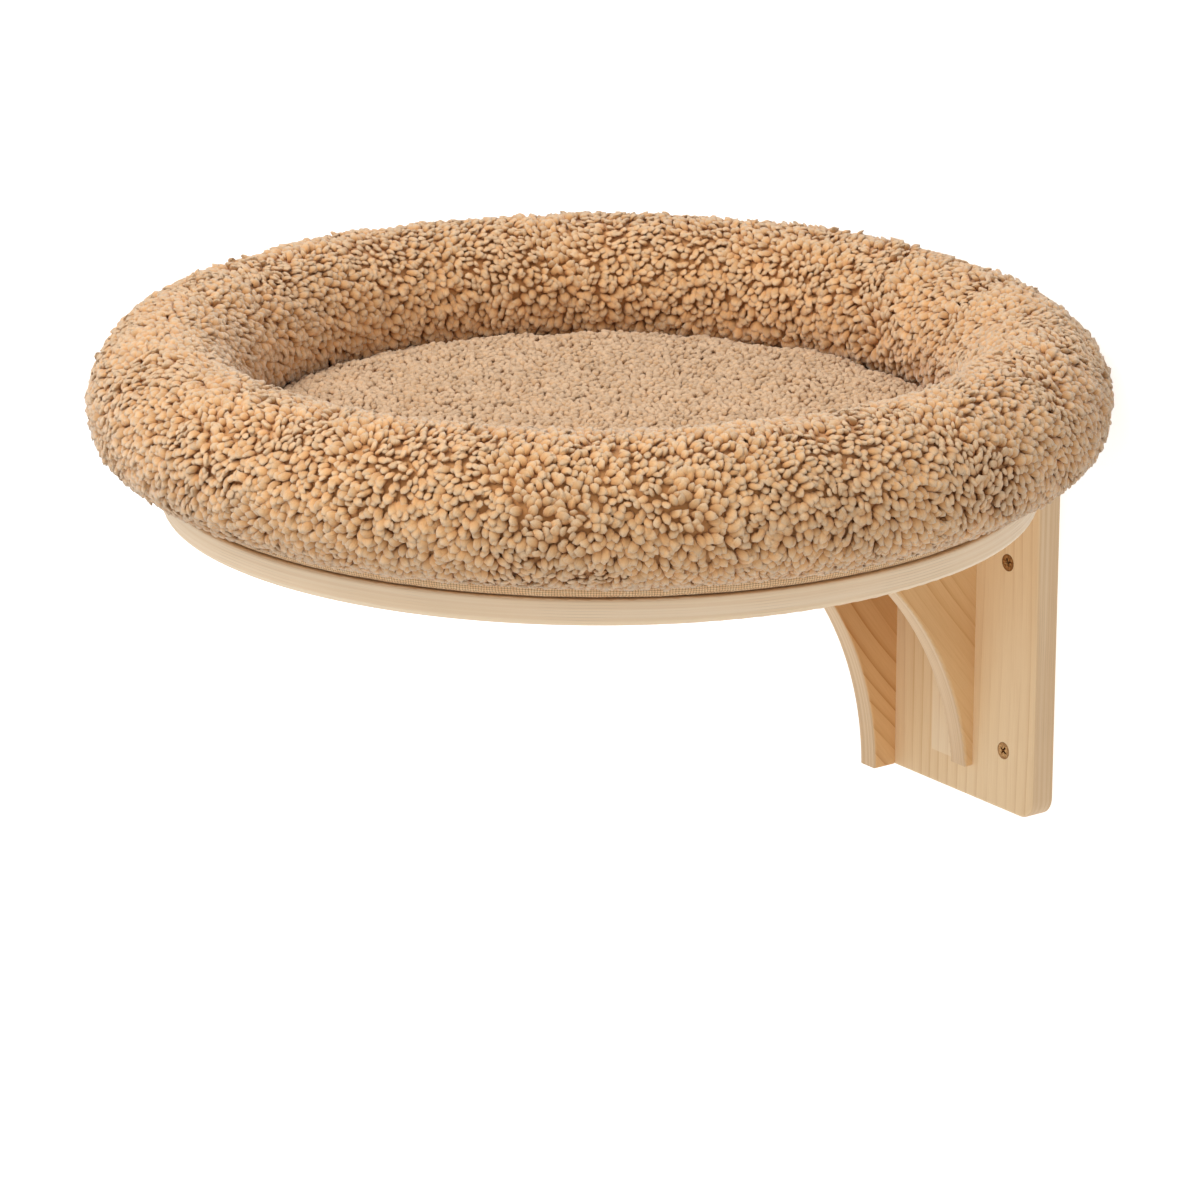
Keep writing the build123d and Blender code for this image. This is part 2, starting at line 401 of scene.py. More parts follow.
@dataclass(frozen=True)
class PlywoodFinish:
    """Matt-lacquered plywood: figured veneer on its faces, stacked plies along its edges."""

    name: str
    through: Axis
    face_at: float
    turn: Point
    veneer: Colour = (0.80, 0.585, 0.375)
    figure: Colour = (0.60, 0.355, 0.165)
    edge_light: Colour = (0.80, 0.58, 0.36)
    edge_dark: Colour = (0.72, 0.49, 0.28)
    glue: Colour = (0.36, 0.25, 0.15)
    pale: Colour = (0.99, 0.84, 0.62)
    sheet: float = 12 * MM
    plies: int = 9
    ring_gap: float = 9 * MM
    ring_strength: float = 0.5
    wander: float = 26 * MM
    shift: Point = (0.0, 0.0, 0.0)
    patch: tuple[Point, Point] | None = None
    patch_strength: float = 0.42
    patch_softness: float = 0.4 * MM
    seam_strength: float = 0.48

    def face_colour(self, shader: Shader) -> tuple[Socket, Socket]:
        """Return the veneer's colour and its fibres' height.

        Args:
            shader: The material's shader.

        Returns:
            The two patterns.
        """
        wide = shader.noise(shader.place((3.0, 13.0, 9.0), self.turn, self.shift), detail=2.0)
        across = shader.parts(shader.place(turn=self.turn, move=self.shift))[1]
        bent = shader.math("MULTIPLY_ADD", wide, self.wander * 2, across)
        rings = shader.math("FRACT", shader.math("DIVIDE", bent, self.ring_gap))
        late_wood = shader.math("POWER", rings, 5.0)
        faded = shader.noise(shader.place((7.0, 30.0, 30.0), self.turn), detail=1.0)
        faded = shader.step(faded, 0.26, 0.56)
        line = shader.math("MULTIPLY", late_wood, faded)
        fibres = shader.noise(shader.place((45.0, 1500.0, 700.0), self.turn), detail=3.0, rough=0.6)
        flecks = shader.noise(shader.place((160.0, 2600.0, 900.0), self.turn), detail=1.0)
        flecks = shader.step(flecks, 0.62, 0.74)
        blotch = shader.noise(shader.place((6.0, 22.0, 14.0), self.turn, (0.3, 0.1, 0.2)), detail=2.0)
        tone = shader.math("MULTIPLY", line, self.ring_strength)
        streaks = shader.step(fibres, 0.35, 0.75)
        blotches = shader.step(blotch, 0.35, 0.70)
        for pattern, weight in ((streaks, 0.18), (blotches, 0.34), (flecks, 0.10)):
            tone = shader.math("MULTIPLY_ADD", pattern, weight, tone)
        colour = shader.mix(tone, self.veneer, self.figure)
        if self.patch:
            colour = self.paler_patch(shader, colour)
        return colour, fibres

    def paler_patch(self, shader: Shader, colour: Socket) -> Socket:
        """Lighten the plate's face in the box between the patch's two corners, most just above its soft
        lower edge and fading upwards.

        Args:
            shader: The material's shader.
            colour: The veneer's colour.

        Returns:
            The colour with its patch.
        """
        low, high = self.patch
        x, y, z = shader.parts(shader.place())
        soft = self.patch_softness
        # A lighter box on the plate's face, brightest just above its soft lower edge and fading upwards.
        inside = shader.step(x, low[0], low[0] + soft)
        beyond = shader.math("SUBTRACT", 1.0, shader.step(x, high[0], high[0] + soft))
        lower_edge = shader.step(z, low[2], low[2] + soft)
        fading = shader.math("SUBTRACT", 1.0, shader.step(z, low[2], high[2]))
        in_front = shader.math("LESS_THAN", y, high[1])
        for limit in (beyond, lower_edge, fading, in_front, self.patch_strength):
            inside = shader.math("MULTIPLY", inside, limit)
        return shader.mix(inside, colour, self.pale)

    def edge_colour(self, shader: Shader) -> Socket:
        """Return the plies' colour along an edge.

        Args:
            shader: The material's shader.

        Returns:
            The colour.
        """
        depth = shader.parts(shader.place())[self.through.value]
        waver = shader.noise(shader.place((14.0, 14.0, 14.0)), detail=3.0, rough=0.6)
        depth = shader.math("MULTIPLY_ADD", waver, 2.6 * MM, shader.math("SUBTRACT", depth, self.face_at))
        wave = shader.math("SINE", shader.math("MULTIPLY", depth, math.pi * self.plies / self.sheet))
        stretch = [220.0, 220.0, 220.0]
        stretch[self.through.value] = 2600.0
        grain = shader.noise(shader.place(tuple(stretch)), detail=3.0, rough=0.65)
        stretch = [5.0, 5.0, 5.0]
        stretch[self.through.value] = self.plies / self.sheet * 0.8
        sheets = shader.noise(shader.place(tuple(stretch)), detail=1.0)
        layer = shader.math("MULTIPLY_ADD", grain, 0.4, shader.step(sheets, 0.36, 0.64))
        layer = shader.math("MULTIPLY_ADD", wave, 0.16, shader.math("SUBTRACT", layer, 0.2))
        seam = shader.math("SUBTRACT", 1.0, shader.step(shader.math("ABSOLUTE", wave), 0.0, 0.30))
        colour = shader.mix(layer, self.edge_dark, self.edge_light)
        broken = shader.noise(shader.place((34.0, 34.0, 34.0)), detail=2.0)
        seam = shader.math("MULTIPLY", seam, shader.step(broken, 0.36, 0.66))
        return shader.mix(shader.math("MULTIPLY", seam, self.seam_strength), colour, self.glue)

    def material(self) -> Material:
        """Build the plywood.

        Returns:
            The material.
        """
        shader = Shader(self.name)
        face, fibres = self.face_colour(shader)
        facing = shader.parts(shader.coordinates("Normal"))[self.through.value]
        on_face = shader.step(shader.math("ABSOLUTE", facing), 0.55, 0.92)
        colour = shader.mix(on_face, self.edge_colour(shader), face)
        normal = shader.bump(fibres, 0.05 * MM, 0.6)
        roughness = shader.math("MULTIPLY_ADD", fibres, 0.14, 0.46)
        return shader.finish(colour, roughness, normal, Specular_IOR_Level=0.35)


@dataclass(frozen=True)
class PlushFinish:
    """Curly tan plush with a soft sheen of loose fibre, its curls painted from pale tips down to deep
    orange-brown roots as painted shade in the crevices between them.
    """

    name: str
    # tip, middle and root colour each curl from its tip down to its root: the darkening towards the root is
    # painted shade of the crevices.
    tip: Colour = (0.805, 0.56, 0.335)
    middle: Colour = (0.775, 0.445, 0.195)
    root: Colour = (0.68, 0.33, 0.115)
    fibre_scale: float = 1300.0
    sheen: float = 0.7
    softness: float = 0.75
    base_shade: float = 0.52

    def soft_normal(self, shader: Shader) -> Socket:
        """Return a normal turned towards the backing's own, as loose fibre scatters light.

        Args:
            shader: The material's shader.

        Returns:
            The normal.
        """
        backing = shader.attribute("backing", "Vector")
        share = (self.softness, self.softness, self.softness)
        surface = shader.node("ShaderNodeNewGeometry").outputs["Normal"]
        return shader.vector_math("NORMALIZE", shader.vector_math("MULTIPLY_ADD", backing, share, surface))

    def material(self) -> Material:
        """Build the plush.

        Returns:
            The material.
        """
        shader = Shader(self.name)
        rise = shader.attribute("tip")
        tone = shader.attribute("tone")
        # Painted shade: the colour darkens from each curl's tip down to its root and the backing, where the
        # crevices lie in shade.
        lower = shader.mix(shader.step(rise, 0.15, 0.75), self.root, self.middle)
        colour = shader.mix(shader.step(rise, 0.50, 1.0), lower, self.tip)
        fibres = shader.noise(shader.place(), scale=self.fibre_scale, detail=3.0, rough=0.7)
        streaks = shader.noise(shader.attribute("strand", "Vector"), scale=4.5, detail=2.0, rough=0.6)
        cloud = shader.noise(shader.place(), scale=22.0, detail=2.0)
        shade = self.base_shade
        for pattern, weight in ((tone, 0.20), (streaks, 0.34), (fibres, 0.26), (cloud, 0.14)):
            shade = shader.math("MULTIPLY_ADD", pattern, weight, shade)
        normal = shader.bump(fibres, 0.35 * MM, 0.5, self.soft_normal(shader))
        normal = shader.bump(streaks, 0.6 * MM, 0.6, normal)
        return shader.finish(
            shader.vector_math("SCALE", colour, shade), 0.95, normal, Specular_IOR_Level=0.12,
            Sheen_Weight=self.sheen, Sheen_Roughness=0.55, Sheen_Tint=(1.0, 0.97, 0.94),
        )


@dataclass(frozen=True)
class LinenFinish:
    """Plain-weave linen on the piece's own UV map, whose unit is a metre."""

    name: str
    thread: Colour = (0.96, 0.62, 0.335)
    slub: Colour = (0.99, 0.74, 0.46)
    gap: Colour = (0.46, 0.28, 0.14)
    pitch: float = 1.25 * MM

    def material(self) -> Material:
        """Build the weave.

        Returns:
            The material.
        """
        shader = Shader(self.name)
        warp_at, weft_at, _ = shader.parts(shader.coordinates("UV"))
        waver = shader.noise(shader.place(), scale=90.0, detail=1.0)
        turns = math.pi / self.pitch
        warp_at = shader.math("MULTIPLY_ADD", waver, self.pitch * 1.6, warp_at)
        warp = shader.math("SINE", shader.math("MULTIPLY", warp_at, turns))
        weft = shader.math("SINE", shader.math("MULTIPLY", weft_at, turns))
        over = shader.math("GREATER_THAN", shader.math("MULTIPLY", warp, weft), 0.0)
        warp = shader.math("ABSOLUTE", warp)
        weft = shader.math("ABSOLUTE", weft)
        warp_over = shader.math("MULTIPLY", warp, shader.math("SQRT", weft))
        weft_over = shader.math("MULTIPLY", weft, shader.math("SQRT", warp))
        under = shader.math("MULTIPLY", weft_over, shader.math("SUBTRACT", 1.0, over))
        height = shader.math("MULTIPLY_ADD", warp_over, over, under)
        slubs = shader.noise(shader.place((1.0, 1.0, 4.0)), scale=260.0, detail=2.0)
        thread = shader.mix(shader.step(slubs, 0.42, 0.72), self.thread, self.slub)
        thread = shader.mix(shader.math("MULTIPLY", over, 0.18), thread, self.slub)
        colour = shader.mix(shader.step(height, 0.05, 0.62), self.gap, thread)
        fuzz = shader.noise(shader.place(), scale=2400.0, detail=2.0)
        normal = shader.bump(fuzz, 0.08 * MM, 0.4, shader.bump(height, 0.28 * MM, 0.8))
        return shader.finish(
            colour, 0.88, normal, Specular_IOR_Level=0.2, Sheen_Weight=0.15, Sheen_Roughness=0.5,
            Sheen_Tint=(1.0, 0.94, 0.85),
        )


@dataclass(frozen=True)
class MetalFinish:
    """Plated steel, painted brighter in the middle of each head, where a driver wears it, and darker out to
    the head's rim, as painted shade of the countersink.
    """

    name: str
    plate: Colour
    worn: Colour
    roughness: float

    def material(self) -> Material:
        """Build the plating.

        Returns:
            The material.
        """
        shader = Shader(self.name)
        patina = shader.noise(shader.place(), scale=900.0, detail=4.0, rough=0.65)
        scratches = shader.noise(shader.place((1.0, 1.0, 6.0)), scale=1800.0, detail=1.0)
        # Painted shade: heads darken out to their rims as shade of the countersink; their middles are worn
        # brighter by the driver.
        wear_and_rim_shade = shader.math("MULTIPLY_ADD", shader.attribute("wear_and_rim_shade"), 0.8, 0.2)
        wear_and_rim_shade = shader.math("MULTIPLY", wear_and_rim_shade, shader.step(patina, 0.35, 0.65))
        colour = shader.mix(wear_and_rim_shade, self.plate, self.worn)
        roughness = shader.math("MULTIPLY_ADD", patina, 0.25, self.roughness)
        normal = shader.bump(scratches, 0.02 * MM, 0.5)
        return shader.finish(colour, roughness, normal, Metallic=1.0)


@dataclass(frozen=True)
class FibreFinish:
    """Brushed nylon, wadding or foam: one colour broken up by fine fibre."""

    name: str
    light: Colour
    dark: Colour
    scale: float
    depth: float = 0.3 * MM
    sheen: float = 0.1

    def material(self) -> Material:
        """Build the fibre.

        Returns:
            The material.
        """
        shader = Shader(self.name)
        fibres = shader.noise(shader.place(), scale=self.scale, detail=5.0, rough=0.7)
        cloud = shader.noise(shader.place(), scale=self.scale / 14, detail=2.0)
        colour = shader.mix(shader.step(fibres, 0.30, 0.70), self.dark, self.light)
        colour = shader.mix(shader.math("MULTIPLY", cloud, 0.3), colour, self.light)
        normal = shader.bump(fibres, self.depth, 0.8)
        return shader.finish(
            colour, 0.92, normal, Specular_IOR_Level=0.2, Sheen_Weight=self.sheen, Sheen_Roughness=0.5
        )


# Geometry Nodes building


class Scatter(NodeBuilder):
    """A Geometry Nodes tree with named inputs."""

    def __init__(self, name: str, **inputs: str) -> None:
        """Start a tree that takes a geometry in and gives one out.

        Args:
            name: The tree's name.
            inputs: Each further input's kind, by its name with spaces written as underscores.
        """
        super().__init__(bpy.data.node_groups.new(name, "GeometryNodeTree"))
        sockets = self.tree.interface
        sockets.new_socket("Geometry", in_out="OUTPUT", socket_type="NodeSocketGeometry")
        sockets.new_socket("Geometry", in_out="INPUT", socket_type="NodeSocketGeometry")
        self.identifiers: dict[str, str] = {}
        for label, kind in inputs.items():
            shown = label.replace("_", " ")
            socket = sockets.new_socket(shown, in_out="INPUT", socket_type=f"NodeSocket{kind}")
            self.identifiers[label] = socket.identifier
        self.given = self.tree.nodes.new("NodeGroupInput").outputs

    def random(self, kind: str, low: object, high: object, seed: int) -> Socket:
        """Return a random value for each point, from a fixed seed."""
        return self.value("FunctionNodeRandomValue", data_type=kind, Min=low, Max=high, Seed=seed)

    def end(self, geometry: Socket) -> None:
        """Realize the instances, set their material and end the tree.

        Args:
            geometry: The tree's last geometry.
        """
        plain = self.value("GeometryNodeRealizeInstances", Geometry=geometry)
        dressed = self.value("GeometryNodeSetMaterial", Geometry=plain, Material=self.given["Material"])
        self.node("NodeGroupOutput", Geometry=dressed)

    def run(self, piece: Piece, **values: object) -> None:
        """Run the tree on a piece, with its named inputs set, and keep the result as a plain mesh.

        Args:
            piece: The piece that the tree starts from.
            values: Each input's value, by its name with spaces written as underscores.
        """
        modifier = piece.modifiers.new(self.tree.name, "NODES")
        modifier.node_group = self.tree
        for name, value in values.items():
            modifier[self.identifiers[name]] = value
        bake_modifiers(piece)


def pile_tree(name: str, seed: int) -> Scatter:
    """Return a tree that covers a surface with curls of plush.

    The surface carries "pile", from 0 where it is bare to 1 where its pile stands free: pressed
    pile is as dense, but low and a little narrower. Each curl keeps its own "tone" and the normal of
    its "backing", and "tip" rises from 0 on the backing to 1 at each curl's end.

    Args:
        name: The tree's name.
        seed: The seed of its random places, turns and sizes.

    Returns:
        The tree, ready to run.
    """
    tree = Scatter(
        name, Curls="Collection", Spacing="Float", Smallest="Float", Largest="Float", Lean="Float",
        Swirl="Float", Swirl_Scale="Float", Droop="Float", Material="Material",
    )
    given = tree.given
    pile = tree.value("GeometryNodeInputNamedAttribute", data_type="FLOAT", Name="pile")
    spread = tree.node(
        "GeometryNodeDistributePointsOnFaces", distribute_method="POISSON", Mesh=given["Geometry"],
        Distance_Min=given["Spacing"], Density_Max=POINTS_PER_SQUARE_METRE,
        Density_Factor=tree.math("GREATER_THAN", pile, 0.05), Seed=seed,
    )

    place = tree.value("GeometryNodeInputPosition")
    swirl = tree.node("ShaderNodeTexNoise", Vector=place, Scale=given["Swirl Scale"])
    drift = tree.vector_math("SUBTRACT", swirl.outputs[1], (0.5, 0.5, 0.5))
    drift = tree.vector_math("SCALE", drift, given["Swirl"])
    lean = tree.random("FLOAT_VECTOR", (-1.0, -1.0, -1.0), (1.0, 1.0, 1.0), seed + 1)
    lean = tree.vector_math("SCALE", lean, given["Lean"])
    droop = tree.vector_math("SCALE", (0.0, 0.0, -1.0), tree.math("MULTIPLY", given["Droop"], pile))
    heading = tree.vector_math("ADD", tree.vector_math("ADD", drift, lean), droop)
    heading = tree.vector_math("NORMALIZE", tree.vector_math("ADD", heading, spread.outputs["Normal"]))
    stand = tree.value("FunctionNodeAlignRotationToVector", axis="Z", Vector=heading)
    combed = tree.value(
        "FunctionNodeAlignRotationToVector", axis="X", pivot_axis="Z", Rotation=stand,
        Vector=tree.vector_math("ADD", drift, droop),
    )
    angle = tree.random("FLOAT", -0.8, 0.8, seed + 2)
    spin = tree.value("FunctionNodeAxisAngleToRotation", Axis=(0.0, 0.0, 1.0), Angle=angle)
    turned = tree.value(
        "FunctionNodeRotateRotation", rotation_space="LOCAL", Rotation=combed, Rotate_By=spin
    )
    size = tree.random("FLOAT", given["Smallest"], given["Largest"], seed + 3)
    broad = tree.math("MULTIPLY", size, tree.math("MULTIPLY_ADD", pile, 0.4, 0.6))
    fitted = tree.value("ShaderNodeCombineXYZ", broad, broad, tree.math("MULTIPLY", size, pile))

    curls = tree.value(
        "GeometryNodeCollectionInfo", Collection=given["Curls"], Separate_Children=True,
        Reset_Children=True,
    )
    planted = tree.value(
        "GeometryNodeInstanceOnPoints", Points=spread.outputs["Points"], Instance=curls,
        Pick_Instance=True, Rotation=turned, Scale=fitted,
    )
    toned = tree.value(
        "GeometryNodeStoreNamedAttribute", data_type="FLOAT", domain="INSTANCE", Geometry=planted,
        Name="tone", Value=tree.random("FLOAT", 0.0, 1.0, seed + 4),
    )
    backed = tree.value(
        "GeometryNodeStoreNamedAttribute", data_type="FLOAT_VECTOR", domain="INSTANCE", Geometry=toned,
        Name="backing", Value=spread.outputs["Normal"],
    )
    together = tree.node("GeometryNodeJoinGeometry", Geometry=given["Geometry"])
    tree.join(backed, together.inputs[0])
    tree.end(together.outputs[0])
    return tree


def row_tree(name: str) -> Scatter:
    """Return a tree that sets a copy of one object at each vertex, turned by "facing".

    Args:
        name: The tree's name.

    Returns:
        The tree, ready to run.
    """
    tree = Scatter(name, Item="Object", Material="Material")
    facing = tree.value("GeometryNodeInputNamedAttribute", data_type="FLOAT_VECTOR", Name="facing")
    item = tree.node("GeometryNodeObjectInfo", Object=tree.given["Item"])
    planted = tree.value(
        "GeometryNodeInstanceOnPoints", Points=tree.given["Geometry"], Instance=item.outputs["Geometry"],
        Rotation=tree.value("FunctionNodeEulerToRotation", Euler=facing),
    )
    tree.end(planted)
    return tree


def set_in_row(
    name: str,
    item: Piece,
    places: Sequence[Point],
    facings: Sequence[Point],
    material: Material,
) -> Piece:
    """Set copies of an item at given places and join them into one plain piece.

    Args:
        name: The piece's name.
        item: The object that is repeated.
        places: Where each copy's origin goes.
        facings: Each copy's turn, as Euler angles.
        material: The finish of them all.

    Returns:
        The new piece.
    """
    mesh = bpy.data.meshes.new(name)
    mesh.from_pydata([tuple(place) for place in places], [], [])
    layer = mesh.attributes.new("facing", "FLOAT_VECTOR", "POINT")
    layer.data.foreach_set("vector", [value for facing in facings for value in facing])
    piece = link_mesh(name, mesh)
    row_tree(f"{name}_row").run(piece, Item=item, Material=material)
    return piece


# Curls of plush


@dataclass(frozen=True)
class Curl:
    """One curl of plush: a tapered tuft along a bent line, a few dozen faces in all."""

    height: float
    width: float
    bend: float
    twist: float
    lobes: int
    groove: float
    seed: int
    rings: int = 5
    sides: int = 7
    rough: float = 0.34 * MM
    flat: float = 0.8
    dent_size: float = 2.0 * MM

    def line(self) -> list[Vector]:
        """Return the tuft's middle line, from its root up and over.

        Returns:
            Its points, one more than its rings.
        """
        points = []
        for k in range(self.rings + 1):
            share = k / self.rings
            lift = self.bend * share
            reach = self.height / max(self.bend, 0.01)
            along = Vector((reach * (1 - math.cos(lift)), 0, reach * math.sin(lift)))
            points.append(Matrix.Rotation(self.twist * share, 3, "Z") @ along)
        return points

    def radius_at(self, share: float) -> float:
        """Return the tuft's half width at a share of its length: narrow root, full middle, blunt point.

        Args:
            share: The share, from 0 at the root to 1.

        Returns:
            The half width.
        """
        swell = 0.58 + 0.42 * math.sin(math.pi * min(share / 0.6, 1.0) / 2)
        cap = max(0.0, 1 - max(0.0, (share - 0.38) / 0.62) ** 2) ** 0.7
        return self.width / 2 * swell * cap

    def mesh(self, name: str) -> Mesh:
        """Build the curl.

        Args:
            name: The mesh's name.

        Returns:
            The mesh, rooted at the origin.
        """
        line = self.line()
        form = bmesh.new()
        tip = form.verts.layers.float.new("tip")
        strand = form.verts.layers.float_vector.new("strand")
        rings = []
        for k, centre in enumerate(line[:-1]):
            share = k / self.rings
            forward = (line[k + 1] - line[max(k - 1, 0)]).normalized()
            side = forward.cross(Vector((0, 1, 0))).normalized()
            other = forward.cross(side).normalized()
            ring = []
            for corner in range(self.sides):
                angle = math.tau * corner / self.sides
                dent = 1 - self.groove * (0.5 + 0.5 * math.cos(self.lobes * angle)) * share
                radius = self.radius_at(share) * dent
                place = centre + side * (self.flat * radius * math.cos(angle))
                place += other * (radius * math.sin(angle))
                dents = noise.noise_vector(place / self.dent_size + Vector((self.seed * 7.3, 0, 0)))
                vertex = form.verts.new(place + dents * (self.rough * min(1.0, share * 2)))
                vertex[tip] = share
                vertex[strand] = Vector((math.cos(angle), math.sin(angle), self.seed + share * 0.3))
                ring.append(vertex)
            rings.append(ring)
        skin(form, rings, wraps=False, closed=True)
        crown = form.verts.new(line[-1])
        crown[tip] = 1.0
        crown[strand] = Vector((0, 0, self.seed + 0.3))
        for corner in range(self.sides):
            form.faces.new((rings[-1][corner], rings[-1][(corner + 1) % self.sides], crown))
        form.faces.new(list(reversed(rings[0])))
        return mesh_from(name, form)


def curl_collection(name: str, curls: Sequence[Curl]) -> bpy.types.Collection:
    """Make a hidden collection that holds one object for each curl.

    Args:
        name: The collection's name.
        curls: The curls to build.

    Returns:
        The collection, which isn't in the scene.
    """
    collection = bpy.data.collections.new(name)
    for number, curl in enumerate(curls):
        label = f"{name}_{number}"
        collection.objects.link(bpy.data.objects.new(label, curl.mesh(label)))
    return collection


def drop_collection(collection: bpy.types.Collection) -> None:
    """Remove a collection and its objects once their copies are realized.

    Args:
        collection: The collection.
    """
    for item in list(collection.objects):
        bpy.data.objects.remove(item)
    bpy.data.collections.remove(collection)


BOLSTER_CURLS = (
    Curl(7.4 * MM, 6.2 * MM, 0.95, 0.2, 3, 0.30, 1, rings=4, flat=0.60),
    Curl(8.0 * MM, 5.6 * MM, 1.15, 0.5, 2, 0.34, 2, rings=5, flat=0.64),
    Curl(6.8 * MM, 6.4 * MM, 0.8, -0.3, 3, 0.28, 3, rings=4, flat=0.58),
    Curl(8.4 * MM, 5.4 * MM, 1.4, -0.6, 2, 0.30, 4, rings=5, flat=0.66),
    Curl(6.2 * MM, 6.4 * MM, 0.6, 0.1, 4, 0.28, 5, rings=4, flat=0.64),
    Curl(8.6 * MM, 5.2 * MM, 1.7, 0.9, 2, 0.24, 6, rings=5, flat=0.70),
    Curl(7.2 * MM, 6.4 * MM, 1.0, 0.4, 3, 0.34, 7, rings=4, flat=0.56),
    Curl(7.8 * MM, 5.0 * MM, 2.1, -1.0, 2, 0.18, 8, rings=5, flat=0.74),
    Curl(6.6 * MM, 6.2 * MM, 0.7, -0.2, 2, 0.38, 9, rings=4, flat=0.62),
)
FLOOR_CURLS = (
    Curl(3.2 * MM, 4.6 * MM, 0.9, 0.0, 2, 0.08, 11, rings=3, sides=6, flat=0.66),
    Curl(3.6 * MM, 4.2 * MM, 1.4, 0.5, 2, 0.08, 12, rings=4, sides=6, flat=0.70),
    Curl(3.3 * MM, 4.4 * MM, 1.1, 0.3, 3, 0.10, 13, rings=3, sides=6, flat=0.62),
    Curl(4.0 * MM, 3.6 * MM, 2.0, 1.0, 2, 0.05, 14, rings=4, sides=6, flat=0.76),
)


# The wooden frame


@dataclass(frozen=True)
class Screw:
    """A countersunk wood screw with a crossed recess, a thread and a point."""

    length: float
    radius: float
    head_radius: float
    shank_radius: float
    thread_length: float
    point: float
    pitch: float
    sides: int = 22
    rim: float = 0.35 * MM

    def radius_at(self, down: float, angle: float) -> float:
        """Return the screw's radius at a depth below its head's face and an angle round it.

        Args:
            down: The depth.
            angle: The angle, in radians.

        Returns:
            The radius.
        """
        cone = self.head_radius - self.shank_radius
        if down <= self.rim:
            return self.head_radius - 0.12 * MM * (1 - down / self.rim)
        if down <= self.rim + cone:
            return self.head_radius - (down - self.rim)
        thread_start = self.length - self.thread_length
        core = self.shank_radius
        if down <= thread_start:
            return core
        taper = min(1.0, (self.length - down) / self.point)
        phase = (down / self.pitch - angle / math.tau) % 1.0
        ridge = max(0.0, 1 - abs(phase - 0.5) / 0.32)
        grown = min(1.0, (down - thread_start) / self.pitch)
        return max(0.02 * MM, core * taper + (self.radius - core) * ridge * grown * min(1.0, taper * 1.6))

    def build(self, name: str) -> Piece:
        """Build the screw, its head's face at the origin and its point below.

        Args:
            name: The object's name.

        Returns:
            The screw.
        """
        cone = self.head_radius - self.shank_radius + self.rim
        depths = [0.0, 0.12 * MM, self.rim, cone, self.length - self.thread_length]
        rows = int(self.thread_length / self.pitch * 6)
        depths += [self.length - self.thread_length * (1 - k / rows) for k in range(1, rows)]
        angles = [math.tau * side / self.sides for side in range(self.sides)]
        form = bmesh.new()
        rings = []
        for depth in depths:
            ring = []
            for angle in angles:
                radius = self.radius_at(depth, angle)
                ring.append(form.verts.new((radius * math.cos(angle), radius * math.sin(angle), -depth)))
            rings.append(ring)
        skin(form, rings, wraps=False, closed=True)
        crown = form.verts.new((0, 0, 0))
        tip = form.verts.new((0, 0, -self.length))
        for side in range(self.sides):
            after = (side + 1) % self.sides
            form.faces.new((rings[0][after], rings[0][side], crown))
            form.faces.new((rings[-1][side], rings[-1][after], tip))
        screw = link_mesh(name, mesh_from(name, form))
        self.cut_recess(screw)
        place = vertex_array(screw.data)
        # The head's face is painted brighter in its middle, worn by the driver, and darker out to its rim,
        # painted shade of the countersink.
        inward = (1 - np.hypot(place[:, 0], place[:, 1]) / self.head_radius) * 2.2
        store_float(screw.data, "wear_and_rim_shade", np.where(place[:, 2] > -0.05 * MM, np.clip(inward, 0.0, 1.0), 0.0))
        return screw

    def cut_recess(self, screw: Piece) -> None:
        """Cut the crossed recess for the driver into the head.

        Args:
            screw: The screw.
        """
        arm = self.head_radius * 0.60
        half = self.head_radius * 0.125
        deep = self.head_radius * 0.62
        over = 0.5 * MM
        cutters = []
        for turn in (0.0, math.radians(90)):
            form = bmesh.new()
            ends = []
            for height, reach, width in ((over, arm, half), (-deep, half * 1.4, half * 0.55)):
                corners = ((-reach, -width), (reach, -width), (reach, width), (-reach, width))
                ends.append([form.verts.new((x, y, height)) for x, y in corners])
            skin(form, ends, wraps=False, closed=True)
            for end in ends:
                form.faces.new(end)
            bmesh.ops.rotate(form, verts=form.verts, matrix=Matrix.Rotation(turn, 3, "Z"))
            cutters.append(link_mesh("recess_cutter", mesh_from("recess_cutter", form, smooth=False)))
        cut_away(screw, cutters)


@dataclass(frozen=True)
class ScrewRow:
    """The screws of one node: what they are, where their heads lie and how they are driven."""

    node: str
    screw: Screw
    places: tuple[Point, ...]
    turn: Euler
    slot: str


